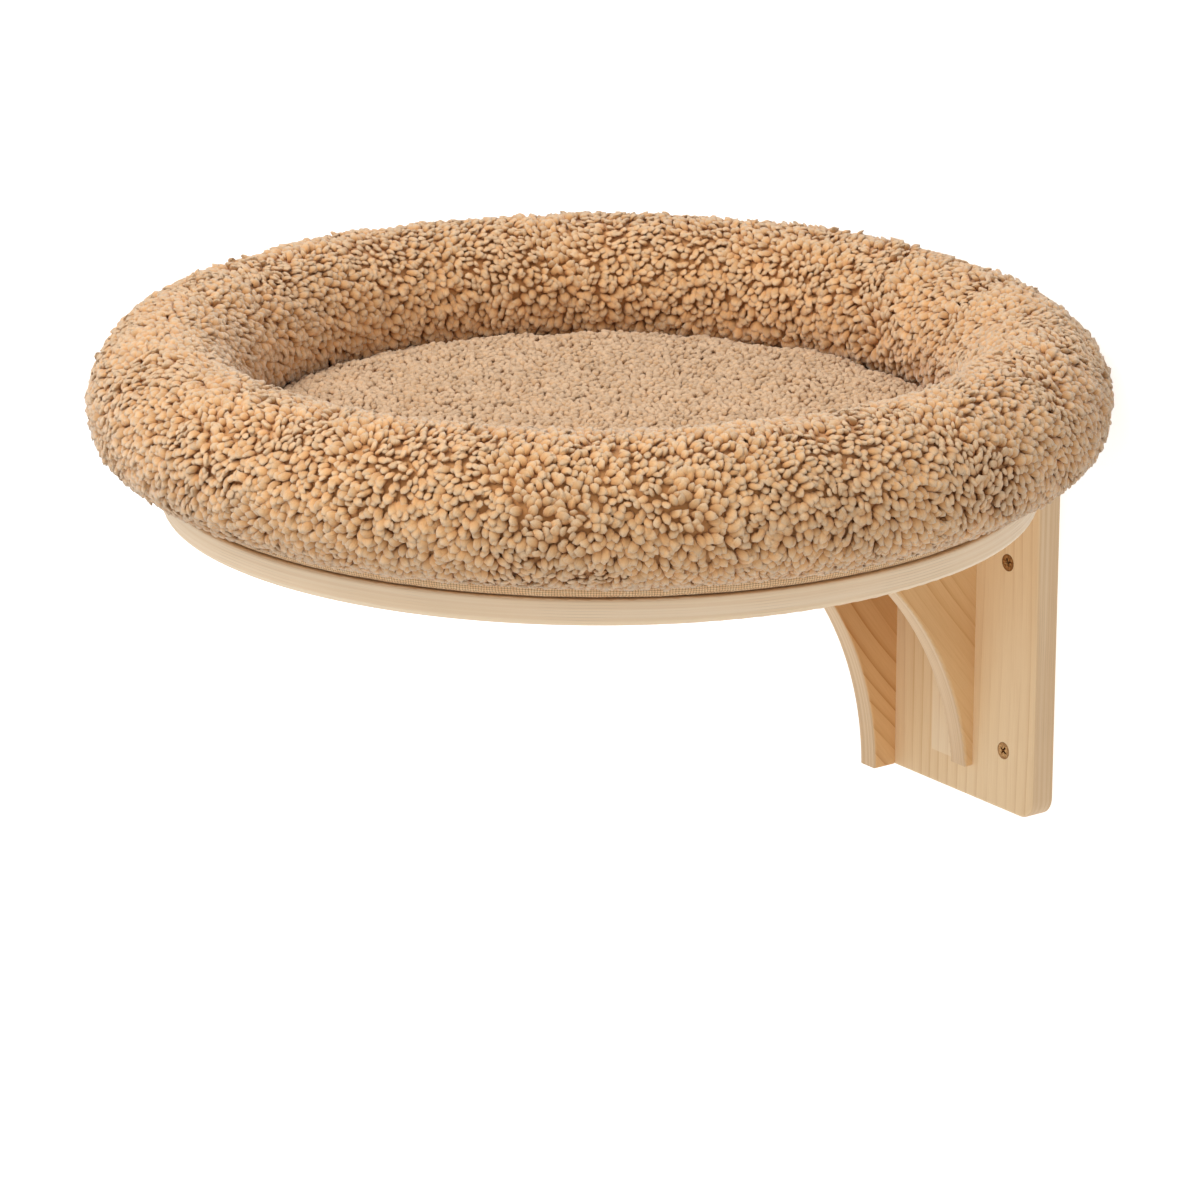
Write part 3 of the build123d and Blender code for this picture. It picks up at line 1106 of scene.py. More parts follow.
@dataclass
class WoodenFrame:
    """The wall plate, the two brackets, the shelf board and the screws that hold them."""

    wall_screw: Screw = Screw(
        50 * MM, 2.25 * MM, 4.25 * MM, 1.6 * MM, 30 * MM, 6 * MM, 2.0 * MM,
    )
    frame_screw: Screw = Screw(
        30 * MM, 2.0 * MM, 4.0 * MM, 1.3 * MM, 26 * MM, 5 * MM, 1.8 * MM, sides=16,
    )

    def dress_wood(self, nodes: dict) -> None:
        """Give each plywood piece a veneer whose grain runs as the sheet was cut.

        Args:
            nodes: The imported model's objects, by node name.
        """
        upright = (math.radians(90), 0.0, math.radians(90))
        plate_low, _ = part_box("wall_plate")
        toe_low, toe_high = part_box("bracket_right")
        patch_low = (toe_low.x - 19 * MM, plate_low.y, toe_low.z)
        patch_high = (toe_high.x, plate_low.y + 1 * MM, toe_low.z + 75 * MM)
        slanted = self.slanted(math.radians(52))
        left_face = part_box("bracket_left")[0].x
        right_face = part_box("bracket_right")[0].x
        finishes = {
            "wall_plate": PlywoodFinish(
                "plywood_plate", Axis.Y, plate_low.y, upright, ring_gap=7 * MM, ring_strength=0.62,
                wander=9 * MM, veneer=(0.93, 0.70, 0.43), figure=(0.72, 0.46, 0.22),
                patch=(patch_low, patch_high),
            ),
            # The brackets' veneer and figure are painted darker and oranger than the plate's and the
            # board's: painted shade and warm bounced light on the cheeks.
            "bracket_left": PlywoodFinish(
                "plywood_left", Axis.X, left_face, slanted, ring_gap=7.5 * MM,
                ring_strength=0.95, wander=22 * MM, shift=(0.11, 0.043, 0.0),
                veneer=(0.82, 0.50, 0.225), figure=(0.58, 0.27, 0.085),
            ),
            "bracket_right": PlywoodFinish(
                "plywood_right", Axis.X, right_face, slanted, ring_gap=6.5 * MM,
                ring_strength=0.95, wander=20 * MM, shift=(0.02, 0.007, 0.0),
                veneer=(0.80, 0.52, 0.255), figure=(0.56, 0.28, 0.095),
            ),
            "shelf_board": PlywoodFinish(
                "plywood_board", Axis.Z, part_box("shelf_board")[0].z, (0.0, 0.0, math.radians(14)),
                ring_gap=21 * MM, ring_strength=0.30, wander=40 * MM,
                veneer=(0.84, 0.64, 0.42), figure=(0.66, 0.42, 0.22), edge_light=(0.95, 0.76, 0.54),
                edge_dark=(0.90, 0.69, 0.46),
            ),
        }
        for name, finish in finishes.items():
            material = finish.material()
            for holder in nodes[name].material_slots:
                holder.material = material
            log.info("%s: plywood, %d plies", name, finish.plies)

    def slanted(self, slant: float) -> Point:
        """Return the turn that lays a cheek's grain on a slant, down towards the wall."""
        return (math.radians(90) + slant, math.radians(90), 0.0)

    def screw_rows(self) -> list[ScrewRow]:
        """Return each node of screws, with its places read from the node's own box.

        Returns:
            The rows of screws.
        """
        rows = []
        low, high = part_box("wall_screws")
        rim = self.wall_screw.head_radius
        face = low.y
        places = (
            (high.x - rim, face, high.z - rim),
            (high.x - rim, face, low.z + rim),
            (low.x + rim, face, high.z - rim),
        )
        turn = Euler((math.radians(90), 0, 0))
        rows.append(ScrewRow("wall_screws", self.wall_screw, places, turn, "brass"))
        rim = self.frame_screw.head_radius
        for side in ("left", "right"):
            low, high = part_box(f"bracket_screws_{side}")
            middle = (low.x + high.x) / 2
            places = ((middle, high.y, high.z - rim), (middle, high.y, low.z + rim))
            turn = Euler((math.radians(-90), 0, 0))
            rows.append(ScrewRow(f"bracket_screws_{side}", self.frame_screw, places, turn, "steel"))
            low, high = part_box(f"shelf_screws_{side}")
            places = ((middle, high.y - rim, high.z), (middle, low.y + rim, high.z))
            rows.append(ScrewRow(f"shelf_screws_{side}", self.frame_screw, places, Euler(), "steel"))
        return rows

    def drive_screws(self) -> None:
        """Set a detailed screw in the place of each plain one."""
        brass = MetalFinish("antique_brass", (0.20, 0.09, 0.03), (0.66, 0.40, 0.17), 0.34)
        steel = MetalFinish("zinc_plate", (0.60, 0.60, 0.59), (0.74, 0.74, 0.72), 0.26)
        finishes = {"brass": brass.material(), "steel": steel.material()}
        for row in self.screw_rows():
            item = row.screw.build(f"{row.node}_one")
            facings = []
            for number in range(len(row.places)):
                spin = Matrix.Rotation(math.radians(22 + 34 * number), 3, "Z")
                facings.append(tuple((row.turn.to_matrix() @ spin).to_euler()))
            piece = set_in_row(f"{row.node}_detailed", item, row.places, facings, finishes[row.slot])
            bpy.data.objects.remove(item)
            piece.data.set_sharp_from_angle(angle=math.radians(38))
            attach(piece, "frame")
            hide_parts(row.node)
            log.info("%s: %d screws, %d faces", piece.name, len(row.places), len(piece.data.polygons))

    def build(self, nodes: dict) -> None:
        """Dress the wood and drive the screws."""
        self.dress_wood(nodes)
        self.drive_screws()


# The cushion


@dataclass
class RingBolster:
    """The stuffed plush ring: a puffed backing under a pile of curls."""

    width: float = 70 * MM
    sole_width: float = 12 * MM
    pile_depth: float = 3.3 * MM
    steps_round: int = 260
    steps_across: int = 44
    lump: float = 1.3 * MM
    pressure: float = 4.0
    swell_cap: float = 2.6 * MM
    spacing: float = 2.40 * MM
    stuffing_inset: float = 3.5 * MM

    def __post_init__(self) -> None:
        """Read the ring's place from the frame."""
        low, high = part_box("bolster_cover")
        base_low, base_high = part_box("linen_base")
        plate_low, plate_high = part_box("wall_plate")
        self.outer = (high.x - low.x) / 2
        self.centre = Vector(((low.x + high.x) / 2, low.y + self.outer, 0))
        self.ring = self.outer - self.width / 2
        self.sole_z = base_high.z
        self.base_radius = (base_high.x - base_low.x) / 2
        self.belly_z = high.z - self.width / 2
        self.wall_y = high.y
        self.plate_left = plate_low.x
        self.plate_right = plate_high.x
        self.plate_top = plate_high.z
        self.plate_front = plate_low.y

    def section(self, angle: float, inset: float) -> tuple[float, float]:
        """Return the radius and height of the section's point at an angle, drawn in by inset.

        Args:
            angle: The angle, from the outside up and over.
            inset: How far it is drawn in.

        Returns:
            The radius and the height.
        """
        if math.sin(angle) >= 0:
            crown = self.width / 2 - inset
            return self.ring + crown * math.cos(angle), self.belly_z + crown * math.sin(angle)
        half = self.sole_width / 2
        side = self.width / 2 - half - inset
        lean = max(-1.0, min(1.0, math.cos(angle) * 8))
        radius = self.ring + half * lean + side * math.cos(angle)
        return radius, self.belly_z + (self.belly_z - self.sole_at(inset)) * math.sin(angle)

    def sole_at(self, inset: float) -> float:
        """Return the sole's height, which rises only for what lies under the cover."""
        return self.sole_z + max(0.0, inset - self.pile_depth)

    def backing_form(self, inset: float) -> Form:
        """Return the ring's surface, pressed flat where it meets the wall and the plate.

        Args:
            inset: How far it is drawn in from the outside of the pile.

        Returns:
            The closed form.
        """
        form = bmesh.new()
        rings = []
        for step in range(self.steps_round):
            turn = math.tau * step / self.steps_round
            across = Vector((math.cos(turn), math.sin(turn), 0))
            ring = []
            for k in range(self.steps_across):
                radius, height = self.section(math.tau * k / self.steps_across, inset)
                place = self.centre + across * radius
                place.z = height
                lumps = noise.noise(place * 17) * 0.65 + noise.noise(place * 41 + Vector((3, 1, 2))) * 0.35
                outward = across * (radius - self.ring) + Vector((0, 0, height - self.belly_z))
                place = place + outward.normalized() * (self.lump * lumps)
                place.z = max(place.z, self.sole_at(inset) + KEPT_OFF)
                ring.append(form.verts.new(self.pressed(place, inset)))
            rings.append(ring)
        skin(form, rings, wraps=True, closed=True)
        return form

    def pressed(self, place: Vector, inset: float) -> Vector:
        """Hold a point back from the wall and, below the plate's top, from the plate.

        Args:
            place: The point.
            inset: How far the surface is drawn in.

        Returns:
            Where it may be.
        """
        limit = self.wall_y - inset * 0.6
        over_plate = self.plate_left - inset < place.x < self.plate_right + inset
        if over_plate and place.z < self.plate_top + inset:
            limit = self.plate_front - inset * 0.6
        return Vector((place.x, min(place.y, limit), place.z))

    def pile_share(self, place: np.ndarray, normal: np.ndarray) -> np.ndarray:
        """Return how freely the pile stands at each vertex, from 0 where it is bare to 1.

        Args:
            place: Each vertex's place.
            normal: Each vertex's normal.

        Returns:
            Each vertex's share.
        """
        radius = np.hypot(place[:, 0] - self.centre.x, place[:, 1] - self.centre.y)
        share = 1.0 - 0.26 * np.clip((normal[:, 2] - 0.15) / 0.6, 0.0, 1.0)
        over_sole = (place[:, 2] - self.sole_z - 1 * MM) / (16 * MM)
        lower = normal[:, 2] < -0.15
        share = np.where(lower, np.clip(over_sole, 0.0, 1.0) * 0.60 + 0.40, share)
        on_base = (place[:, 2] < self.sole_z + 2 * MM) & (radius < self.base_radius + 0.5 * MM)
        share = np.where(on_base, 0.0, share)
        hidden = (radius < self.ring) & (place[:, 2] < self.sole_z + 13 * MM)
        share = np.where(hidden, 0.0, share)
        pressed_back = (normal[:, 1] > 0.8) & (place[:, 1] > self.plate_front - 8 * MM)
        return np.where(pressed_back, np.minimum(share, 0.45), share)

    def build(self) -> None:
        """Build the plush ring's cover and its pile."""
        plush = PlushFinish("curly_plush").material()
        mesh = mesh_from("bolster_plush", self.backing_form(self.pile_depth))
        piece = link_mesh("bolster_plush", mesh)
        puff_up(piece, self.pressure, self.swell_cap, self.held_back)
        mesh = piece.data
        normals = np.array([tuple(vertex.normal) for vertex in mesh.vertices])
        pile = self.pile_share(vertex_array(mesh), normals)
        store_float(mesh, "pile", pile)
        # Painted shade: the backing under standing curls takes the darkest root colour, as shade in the gaps
        # between them.
        store_float(mesh, "tip", np.where(pile > 0.5, 0.0, 0.55))
        store_float(mesh, "tone", np.full(len(mesh.vertices), 0.3))
        curls = curl_collection("bolster_curl", BOLSTER_CURLS)
        pile_tree("bolster_pile", 7).run(
            piece, Curls=curls, Spacing=self.spacing, Smallest=0.70, Largest=1.0, Lean=0.26, Swirl=1.6,
            Swirl_Scale=30.0, Droop=0.20, Material=plush,
        )
        drop_collection(curls)
        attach(piece, "cushion")
        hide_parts("bolster_cover")
        report(piece)

    def held_back(self, place: Vector) -> Vector:
        """Keep a swollen point off the base, the plate and the wall."""
        place.z = max(place.z, self.sole_z + KEPT_OFF)
        return self.pressed(place, self.pile_depth)

    def build_filling(self, material: Material) -> None:
        """Build the ring's stuffing, which fills the cover out from inside.

        Args:
            material: The stuffing's material.
        """
        plain = RingBolster(steps_round=120, steps_across=24)
        form = plain.backing_form(self.pile_depth + self.stuffing_inset)
        mesh = mesh_from("bolster_stuffing", form)
        piece = link_mesh("bolster_stuffing", mesh)
        mesh.materials.append(material)
        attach(piece, "cushion")
        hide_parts("bolster_filling")
        report(piece)


@dataclass
class FloorPad:
    """The plush floor of the nest: a low crowned pad with a short, dense pile."""

    crown: float = 4 * MM
    rim_rounding: float = 6 * MM
    pile_depth: float = 2.0 * MM
    tuck: float = 7 * MM
    segments: int = 190
    ring_step: float = 5.5 * MM
    dimple: float = 0.9 * MM
    pressure: float = 2.0
    swell_cap: float = 2.0 * MM
    spacing: float = 2.35 * MM
    foam_inset: float = 2.2 * MM

    def __post_init__(self) -> None:
        """Read the pad's place from the frame."""
        low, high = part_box("floor_cover")
        ring_low, ring_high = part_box("bolster_cover")
        self.radius = (ring_high.x - ring_low.x) / 2 - RingBolster.width + self.tuck
        self.centre = Vector(((low.x + high.x) / 2, (low.y + high.y) / 2, 0))
        self.sole_z = low.z
        self.top_z = high.z

    def outline(self, inset: float) -> list[tuple[float, float]]:
        """Return the pad's section from its lower pole round to its crown, drawn in by inset.

        Args:
            inset: How far it is drawn in.

        Returns:
            Radius and height of each point.
        """
        radius = self.radius - inset
        sole = self.sole_z + inset
        rim_z = self.top_z - self.crown - inset
        steps = int(radius / self.ring_step)
        bottom = [(radius * k / steps, sole) for k in range(steps)]
        inner = radius - self.rim_rounding
        corner = rounded_corner((inner, rim_z - self.rim_rounding), self.rim_rounding, 0, 5)
        top = []
        for k in range(1, steps):
            share = 1 - k / steps
            top.append((inner * share, rim_z + self.crown * (1 - share * share)))
        return [*bottom, (radius, sole), *corner, *top, (0.0, rim_z + self.crown)]

    def build(self) -> None:
        """Build the pad's cover and its pile."""
        # The floor's darker root colour is painted shade of the crevices between its curls.
        finish = PlushFinish(
            "short_plush", tip=(0.75, 0.51, 0.315), middle=(0.71, 0.465, 0.27), root=(0.64, 0.38, 0.195),
            fibre_scale=1900.0, sheen=0.3,
        )
        form = lathe(self.outline(self.pile_depth), self.centre, self.segments)
        for vertex in form.verts:
            if vertex.co.z > self.sole_z + 8 * MM:
                place = vertex.co
                vertex.co.z += self.dimple * (noise.noise(place * 30) + 0.5 * noise.noise(place * 75))
        piece = link_mesh("floor_plush", mesh_from("floor_plush", form))
        puff_up(piece, self.pressure, self.swell_cap, self.held_down)
        mesh = piece.data
        place = vertex_array(mesh)
        store_float(mesh, "pile", np.where(place[:, 2] > self.sole_z + 9 * MM, 1.0, 0.0))
        # Painted shade: the backing takes almost the root colour, as shade under the curls.
        store_float(mesh, "tip", np.full(len(place), 0.1))
        store_float(mesh, "tone", np.full(len(place), 0.4))
        curls = curl_collection("floor_curl", FLOOR_CURLS)
        pile_tree("floor_pile", 23).run(
            piece, Curls=curls, Spacing=self.spacing, Smallest=0.80, Largest=1.15, Lean=0.42, Swirl=1.5,
            Swirl_Scale=60.0, Droop=0.0, Material=finish.material(),
        )
        drop_collection(curls)
        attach(piece, "cushion")
        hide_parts("floor_cover")
        report(piece)

    def held_down(self, place: Vector) -> Vector:
        """Keep a swollen point above the base."""
        place.z = max(place.z, self.sole_z + KEPT_OFF)
        return place

    def build_filling(self, material: Material) -> None:
        """Build the foam under the pad's cover.

        Args:
            material: The foam's material.
        """
        form = lathe(self.outline(self.pile_depth + self.foam_inset), self.centre, 96)
        mesh = mesh_from("floor_foam_pad", form)
        piece = link_mesh("floor_foam_pad", mesh)
        mesh.materials.append(material)
        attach(piece, "cushion")
        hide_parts("floor_foam")
        report(piece)


@dataclass
class LinenBase:
    """The cushion's linen-covered bottom, with a pocket for each loop patch."""

    rounding: float = 3.6 * MM
    segments: int = 420
    pucker: float = 0.30 * MM
    pocket_radius: float = 15.3 * MM
    pocket_top: float = 2.3 * MM
    patch_radius: float = 15 * MM
    wadding_inset: float = 1.4 * MM

    def __post_init__(self) -> None:
        """Read the base's place from the frame."""
        low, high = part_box("linen_base")
        self.radius = (high.x - low.x) / 2
        self.centre = Vector(((low.x + high.x) / 2, low.y + self.radius, 0))
        self.low_z = low.z
        self.high_z = high.z
        self.rear_y = high.y

    def patch_centres(self) -> list[Vector]:
        """Return the middle of each of the four patches, from the loop patches' box.

        Returns:
            The four middles.
        """
        low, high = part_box("loop_patches")
        inner = self.patch_radius
        return [
            Vector((x, y, 0))
            for x in (low.x + inner, high.x - inner)
            for y in (low.y + inner, high.y - inner)
        ]

    def outline(self, inset: float, steps: int) -> list[tuple[float, float]]:
        """Return the disc's section from its lower pole round to its upper one, drawn in by inset.

        Args:
            inset: How far it is drawn in.
            steps: Steps in each rounded corner.

        Returns:
            Radius and height of each point.
        """
        corner = self.rounding - inset
        flat = self.radius - inset - corner
        low = self.low_z + inset
        high = self.high_z - inset
        lower = rounded_corner((flat, low + corner), corner, -90, steps)
        upper = rounded_corner((flat, high - corner), corner, 0, steps)
        shares = (0.0, 0.25, 0.5, 0.75)
        bottom = [(flat * share, low) for share in shares]
        top = [(flat * share, high) for share in reversed(shares)]
        return [*bottom, *lower, *upper, *top]

    def disc(self, name: str, inset: float, steps: int, segments: int) -> Piece:
        """Build the disc, cut off straight beside the plate.

        Args:
            name: The piece's name.
            inset: How far it is drawn in all round.
            steps: Steps in each rounded corner.
            segments: Steps round the disc.

        Returns:
            The new piece.
        """
        form = lathe(self.outline(inset, steps), self.centre, segments)
        for vertex in form.verts:
            outward = Vector((vertex.co.x - self.centre.x, vertex.co.y - self.centre.y, 0))
            if outward.length > self.radius - self.rounding * 1.5:
                ripple = noise.noise(vertex.co * 55) + 0.6 * noise.noise(vertex.co * 140)
                vertex.co += outward.normalized() * (self.pucker * ripple)
                vertex.co.z += self.pucker * 0.5 * noise.noise(vertex.co * 80 + Vector((5, 5, 5)))
                vertex.co.z = min(max(vertex.co.z, self.low_z + inset), self.high_z - inset)
        cut = bmesh.ops.bisect_plane(
            form,
            geom=[*form.verts, *form.edges, *form.faces],
            plane_co=(0, self.rear_y - inset, 0),
            plane_no=(0, 1, 0),
            clear_outer=True,
        )
        rim = [edge for edge in cut["geom_cut"] if isinstance(edge, bmesh.types.BMEdge)]
        bmesh.ops.edgeloop_fill(form, edges=rim)
        return link_mesh(name, mesh_from(name, form))

    def cut_pockets(self, piece: Piece, radius: float, top: float) -> None:
        """Sink the four pockets for the loop patches into a piece's underside.

        Args:
            piece: The piece.
            radius: A pocket's radius.
            top: The height of its roof.
        """
        form = bmesh.new()
        for centre in self.patch_centres():
            middle = centre + Vector((0, 0, (top - 4 * MM) / 2))
            bmesh.ops.create_cone(
                form, cap_ends=True, segments=64, radius1=radius, radius2=radius, depth=top + 4 * MM,
                matrix=Matrix.Translation(middle),
            )
        cut_away(piece, [link_mesh("pocket_cutter", mesh_from("pocket_cutter", form, smooth=False))])

    def lay_weave(self, mesh: Mesh) -> None:
        """Map the cloth in metres: flat above and below, and wound round the edge.

        Args:
            mesh: The cover's mesh.
        """
        layer = mesh.uv_layers.new(name="weave")
        for face in mesh.polygons:
            middle = face.center - self.centre
            facing = math.atan2(middle.y, middle.x)
            for corner in face.loop_indices:
                place = mesh.vertices[mesh.loops[corner].vertex_index].co
                if abs(face.normal.z) < 0.7:
                    angle = math.atan2(place.y - self.centre.y, place.x - self.centre.x)
                    angle = facing + math.remainder(angle - facing, math.tau)
                    layer.data[corner].uv = (angle * self.radius, place.z * 1.25)
                else:
                    layer.data[corner].uv = (place.x, place.y)

    def build(self) -> None:
        """Build the linen cover."""
        piece = self.disc("linen_cover", 0.0, 7, self.segments)
        self.cut_pockets(piece, self.pocket_radius, self.pocket_top)
        self.lay_weave(piece.data)
        piece.data.set_sharp_from_angle(angle=math.radians(50))
        piece.data.materials.clear()
        piece.data.materials.append(LinenFinish("linen_weave").material())
        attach(piece, "cushion")
        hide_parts("linen_base")
        report(piece)

    def build_filling(self, material: Material) -> None:
        """Build the wadding inside the linen.

        Args:
            material: The wadding's material.
        """
        inset = self.wadding_inset
        piece = self.disc("base_wadding_pad", inset, 4, 160)
        self.cut_pockets(piece, self.pocket_radius + inset, self.pocket_top + inset)
        piece.data.materials.clear()
        piece.data.materials.append(material)
        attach(piece, "cushion")
        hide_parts("base_wadding")
        report(piece)


class TapeSide(Enum):
    """The two sides of a hook-and-loop fastening."""

    HOOK = "hook"
    LOOP = "loop"


@dataclass
class TapePatches:
    """One side of the hook-and-loop fastening: four round patches and what stands on them."""

    side: TapeSide
    tape: float = 0.45 * MM
    spacing: float = 1.15 * MM
    bevel: float = 0.2 * MM
    hooks: tuple = (
        Curl(0.62 * MM, 0.30 * MM, 2.7, 0.0, 2, 0.0, 21, rings=6, sides=4, rough=0.0),
        Curl(0.56 * MM, 0.30 * MM, 2.9, 0.2, 2, 0.0, 22, rings=6, sides=4, rough=0.0),
    )
    loops: tuple = (
        Curl(0.60 * MM, 0.24 * MM, 3.1, 0.9, 2, 0.0, 23, rings=6, sides=4, rough=0.05 * MM),
        Curl(0.50 * MM, 0.22 * MM, 2.6, 1.6, 2, 0.0, 24, rings=6, sides=4, rough=0.05 * MM),
    )

    def build(self, centres: Sequence[Vector], radius: float) -> None:
        """Build the four patches of this side.

        Args:
            centres: The middle of each patch.
            radius: A patch's radius.
        """
        node = f"{self.side.value}_patches"
        low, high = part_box(node)
        upward = self.side is TapeSide.HOOK
        back_z, front_z = (low.z, low.z + self.tape) if upward else (high.z, high.z - self.tape)
        outline = [
            (0.0, back_z), (radius * 0.5, back_z), (radius, back_z),
            (radius, front_z + (back_z - front_z) * 0.4), (radius - self.bevel, front_z),
            (radius * 0.5, front_z), (0.0, front_z),
        ]
        form = bmesh.new()
        for centre in centres:
            lathe(outline, centre, 72, form)
        piece = link_mesh(f"{node}_tape", mesh_from(f"{node}_tape", form))
        place = vertex_array(piece.data)
        on_front = np.abs(place[:, 2] - front_z) < 0.01 * MM
        store_float(piece.data, "pile", np.where(on_front, 1.0, 0.0))
        items = curl_collection(f"{self.side.value}_one", self.hooks if upward else self.loops)
        lean = 0.05 if upward else 0.5
        finish = (
            FibreFinish("hook_tape", (0.72, 0.62, 0.48), (0.55, 0.45, 0.33), 1600.0)
            if upward
            else FibreFinish("loop_tape", (0.74, 0.60, 0.44), (0.52, 0.39, 0.26), 1200.0)
        )
        pile_tree(f"{self.side.value}_pile", 31).run(
            piece, Curls=items, Spacing=self.spacing, Smallest=0.85, Largest=1.05, Lean=lean, Swirl=0.0,
            Swirl_Scale=1.0, Droop=0.0, Material=finish.material(),
        )
        drop_collection(items)
        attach(piece, "frame" if upward else "cushion")
        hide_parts(node)
        report(piece)


def puff_up(piece: Piece, pressure: float, cap: float, held: Callable[[Vector], Vector]) -> None:
    """Blow a closed piece up with cloth under pressure, and keep the result as its mesh.

    Args:
        piece: The closed piece.
        pressure: The cloth's inner pressure.
        cap: The furthest that a point may move.
        held: Gives the place that a moved point may take.
    """
    before = vertex_array(piece.data)
    low = before[:, 2].min()
    sole = [index for index, place in enumerate(before) if place[2] < low + SOLE_DEPTH]
    group = piece.vertex_groups.new(name="sole")
    group.add(sole, 1.0, "REPLACE")
    cloth = piece.modifiers.new("stuffing", "CLOTH")
    settings = {
        "quality": 4,
        "mass": 0.3,
        "tension_stiffness": 12,
        "compression_stiffness": 12,
        "shear_stiffness": 6,
        "bending_stiffness": 0.4,
        "use_pressure": True,
        "uniform_pressure_force": pressure,
        "vertex_group_mass": "sole",
    }
    for name, value in settings.items():
        setattr(cloth.settings, name, value)
    cloth.settings.effector_weights.gravity = 0.0
    cloth.point_cache.frame_start = 1
    cloth.point_cache.frame_end = CLOTH_FRAMES
    scene = bpy.context.scene
    for frame in range(1, CLOTH_FRAMES + 1):
        scene.frame_set(frame)
    graph = bpy.context.evaluated_depsgraph_get()
    after = vertex_array(piece.evaluated_get(graph).data)
    piece.modifiers.clear()
    piece.vertex_groups.clear()
    scene.frame_set(1)
    moved = after - before
    reach = np.linalg.norm(moved, axis=1, keepdims=True)
    moved *= np.minimum(1.0, cap / np.maximum(reach, 1e-9))
    for vertex, place in zip(piece.data.vertices, before + moved):
        vertex.co = held(Vector(place))
    piece.data.update()
    log.info("%s: puffed up, furthest %.1f mm", piece.name, float(reach.max()) / MM)


@dataclass
class Cushion:
    """The whole cushion, from the loop patches underneath to the plush ring on top."""

    def build(self) -> None:
        """Build each of the cushion's pieces, and the hook patches that it grips."""
        fibre = FibreFinish("polyester_fibre", (0.93, 0.92, 0.89), (0.74, 0.73, 0.70), 700.0).material()
        base = LinenBase()
        base.build()
        base.build_filling(fibre)
        centres = base.patch_centres()
        for side in TapeSide:
            TapePatches(side).build(centres, base.patch_radius)
        pad = FloorPad()
        pad.build()
        pad.build_filling(fibre)
        ring = RingBolster()
        ring.build()
        ring.build_filling(fibre)


# The studio


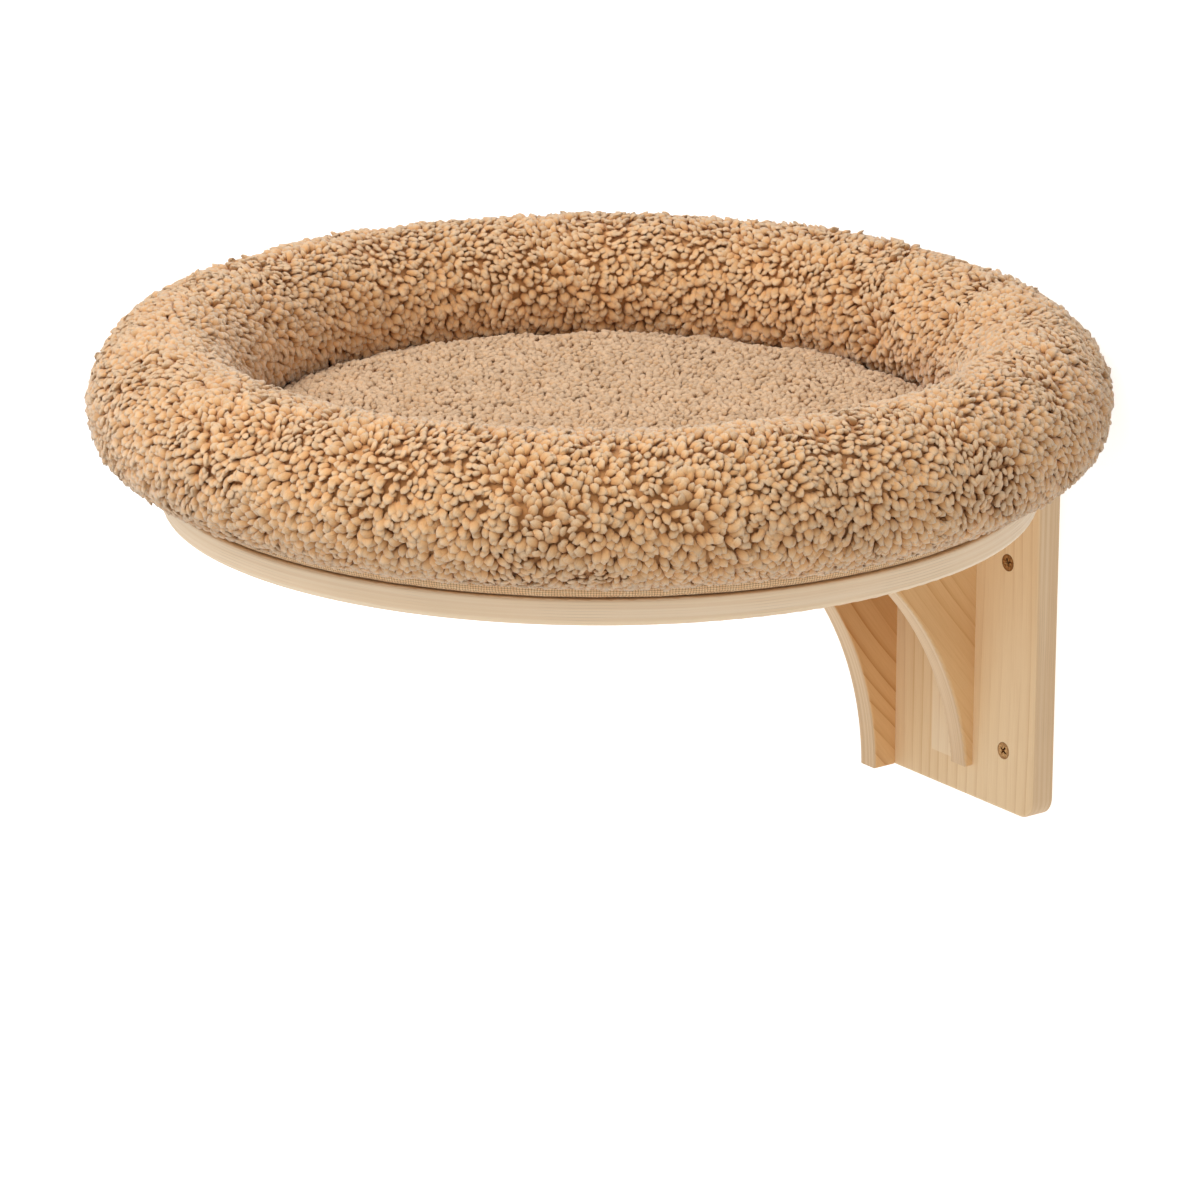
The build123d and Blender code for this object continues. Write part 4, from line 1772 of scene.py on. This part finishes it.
@dataclass
class Studio:
    """A plain white wall and floor, soft light and a camera at the photograph's angle."""

    azimuth: float = 54.0
    elevation: float = 17.5
    distance: float = 2.4
    pixels: float = 1200.0
    pixels_per_metre: float = 2190.0
    aim_drop: float = 60 * MM
    floor_z: float = -0.75
    floor_size: float = 60.0
    wall_size: float = 4.0
    wall_gap: float = 0.3 * MM
    key_power: float = 54.0
    fill_power: float = 2.0
    sky: float = 0.60
    floor_glow: float = 0.45
    wall_glow: float = 0.56

    def directions(self) -> tuple[Vector, Vector]:
        """Return the ways back to the camera and to its right.

        Returns:
            The two directions.
        """
        turn = math.radians(self.azimuth)
        rise = math.radians(self.elevation)
        back = Vector((math.sin(turn) * math.cos(rise), -math.cos(turn) * math.cos(rise), math.sin(rise)))
        return back, Vector((math.cos(turn), math.sin(turn), 0))

    def set_camera(self, middle: Vector) -> None:
        """Aim the camera at a point below the disc's middle.

        Args:
            middle: The disc's middle.
        """
        back, right = self.directions()
        lens = bpy.data.cameras.new("camera")
        lens.sensor_width = 36.0
        lens.lens = lens.sensor_width * self.distance * self.pixels_per_metre / self.pixels
        lens.clip_start = 0.05
        lens.clip_end = 100.0
        camera = bpy.data.objects.new("camera", lens)
        bpy.context.scene.collection.objects.link(camera)
        target = middle - back.cross(right) * self.aim_drop
        camera.location = target + back * self.distance
        camera.rotation_mode = "QUATERNION"
        camera.rotation_quaternion = (-back).to_track_quat("-Z", "Y")
        bpy.context.scene.camera = camera

    def add_lamp(
        self, name: str, place: Vector, aim: Vector, power: float, size: float, colour: Colour
    ) -> None:
        """Hang one square soft lamp and turn it to its aim.

        Args:
            name: Its name.
            place: Where it hangs.
            aim: What it shines at.
            power: Its power, in watts.
            size: The side of its square.
            colour: Its colour.
        """
        lamp = bpy.data.lights.new(name, "AREA")
        lamp.energy = power
        lamp.size = size
        lamp.color = colour
        holder = bpy.data.objects.new(name, lamp)
        bpy.context.scene.collection.objects.link(holder)
        holder.location = place
        holder.rotation_mode = "QUATERNION"
        holder.rotation_quaternion = (place - aim).to_track_quat("Z", "Y")

    def add_lamps(self, middle: Vector) -> None:
        """Light the bed from high on the picture's left, with a weak fill from the right.

        Args:
            middle: The disc's middle.
        """
        back, right = self.directions()
        level = Vector((back.x, back.y, 0)).normalized()
        up = Vector((0, 0, 1))
        key = middle - right * 1.25 + level * 0.75 + up * 2.15
        self.add_lamp("key", key, middle, self.key_power, 2.3, WHITE)
        fill = middle + right * 1.6 + level * 1.4 + up * 0.2
        self.add_lamp("fill", fill, middle, self.fill_power, 1.6, (1.0, 0.98, 0.96))

    def white_seen(self, tree: NodeBuilder) -> Socket:
        """Return 1 for rays from the camera, a mirror or a glass, and 0 for the rest.

        Args:
            tree: The tree that asks.

        Returns:
            The level.
        """
        path = tree.node("ShaderNodeLightPath").outputs
        either = tree.math("MAXIMUM", path["Is Camera Ray"], path["Is Glossy Ray"])
        return tree.math("MAXIMUM", either, path["Is Transmission Ray"])

    def set_world(self) -> None:
        """Surround the scene with even white light."""
        world = bpy.data.worlds.new("white")
        bpy.context.scene.world = world
        world.use_nodes = True
        sky = NodeBuilder(world.node_tree)
        background = sky.tree.nodes["Background"]
        strength = sky.value("ShaderNodeMapRange", self.white_seen(sky), To_Min=self.sky, To_Max=1.0)
        sky.join(WHITE, background.inputs["Color"])
        sky.join(strength, background.inputs["Strength"])

    def white_paint(self, name: str, glow: float, lets_light_by: bool) -> Material:
        """Build a white paint that the camera sees with a faint glow, and only from its front.

        Args:
            name: The material's name.
            glow: The strength of that glow.
            lets_light_by: Whether every ray but the camera's passes through it.

        Returns:
            The material.
        """
        shader = Shader(name)
        paint = shader.value("ShaderNodeBsdfDiffuse", Color=(0.92, 0.92, 0.92))
        strength = shader.math("MULTIPLY", self.white_seen(shader), glow)
        light = shader.value("ShaderNodeEmission", Color=WHITE, Strength=strength)
        both = shader.value("ShaderNodeAddShader", paint, light)
        seen = shader.node("ShaderNodeLightPath").outputs["Is Camera Ray"]
        turned_away = shader.node("ShaderNodeNewGeometry").outputs["Backfacing"]
        behind = shader.math("MULTIPLY", seen, turned_away)
        front = shader.math("SUBTRACT", seen if lets_light_by else 1.0, behind)
        clear = shader.value("ShaderNodeBsdfTransparent")
        shader.node("ShaderNodeOutputMaterial", shader.value("ShaderNodeMixShader", front, clear, both))
        return shader.material

    def lay_floor(self, middle: Vector) -> None:
        """Lay a wide white floor well below the bed.

        Args:
            middle: The disc's middle.
        """
        form = bmesh.new()
        bmesh.ops.create_circle(form, cap_ends=True, radius=self.floor_size, segments=96)
        floor = link_mesh("floor", mesh_from("floor", form, smooth=False))
        for vertex in floor.data.vertices:
            vertex.co += Vector((middle.x, middle.y, self.floor_z))
        floor.data.materials.append(self.white_paint("white_floor", self.floor_glow, lets_light_by=False))

    def raise_wall(self) -> None:
        """Raise a plain white wall behind the plate, which the screws run into."""
        form = bmesh.new()
        half = self.wall_size / 2
        corners = ((-half, self.floor_z), (half, self.floor_z), (half, half), (-half, half))
        form.faces.new([form.verts.new((x, self.wall_gap, z)) for x, z in corners])
        mesh = bpy.data.meshes.new("wall")
        form.to_mesh(mesh)
        form.free()
        wall = link_mesh("wall", mesh)
        mesh.materials.append(self.white_paint("white_wall", self.wall_glow, lets_light_by=True))

    def build(self, middle: Vector) -> None:
        """Set the camera, the light, the floor and the wall round the bed.

        Args:
            middle: The disc's middle.
        """
        bpy.context.scene.view_settings.view_transform = "Standard"
        self.set_camera(middle)
        self.set_world()
        self.add_lamps(middle)
        self.lay_floor(middle)
        self.raise_wall()
        log.info("studio: camera at %.1f degrees round, %.1f up", self.azimuth, self.elevation)


def main() -> None:
    """Build the cat bed and its studio."""
    logging.basicConfig(level=logging.INFO, format="%(message)s")
    noise.seed_set(NOISE_SEED)
    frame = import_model()
    board_low, board_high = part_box("shelf_board")
    radius = (board_high.x - board_low.x) / 2
    middle = Vector(((board_low.x + board_high.x) / 2, board_low.y + radius, board_high.z))
    Studio().build(middle)
    WoodenFrame().build(frame["nodes"])
    Cushion().build()


if __name__ == "__main__":
    main()
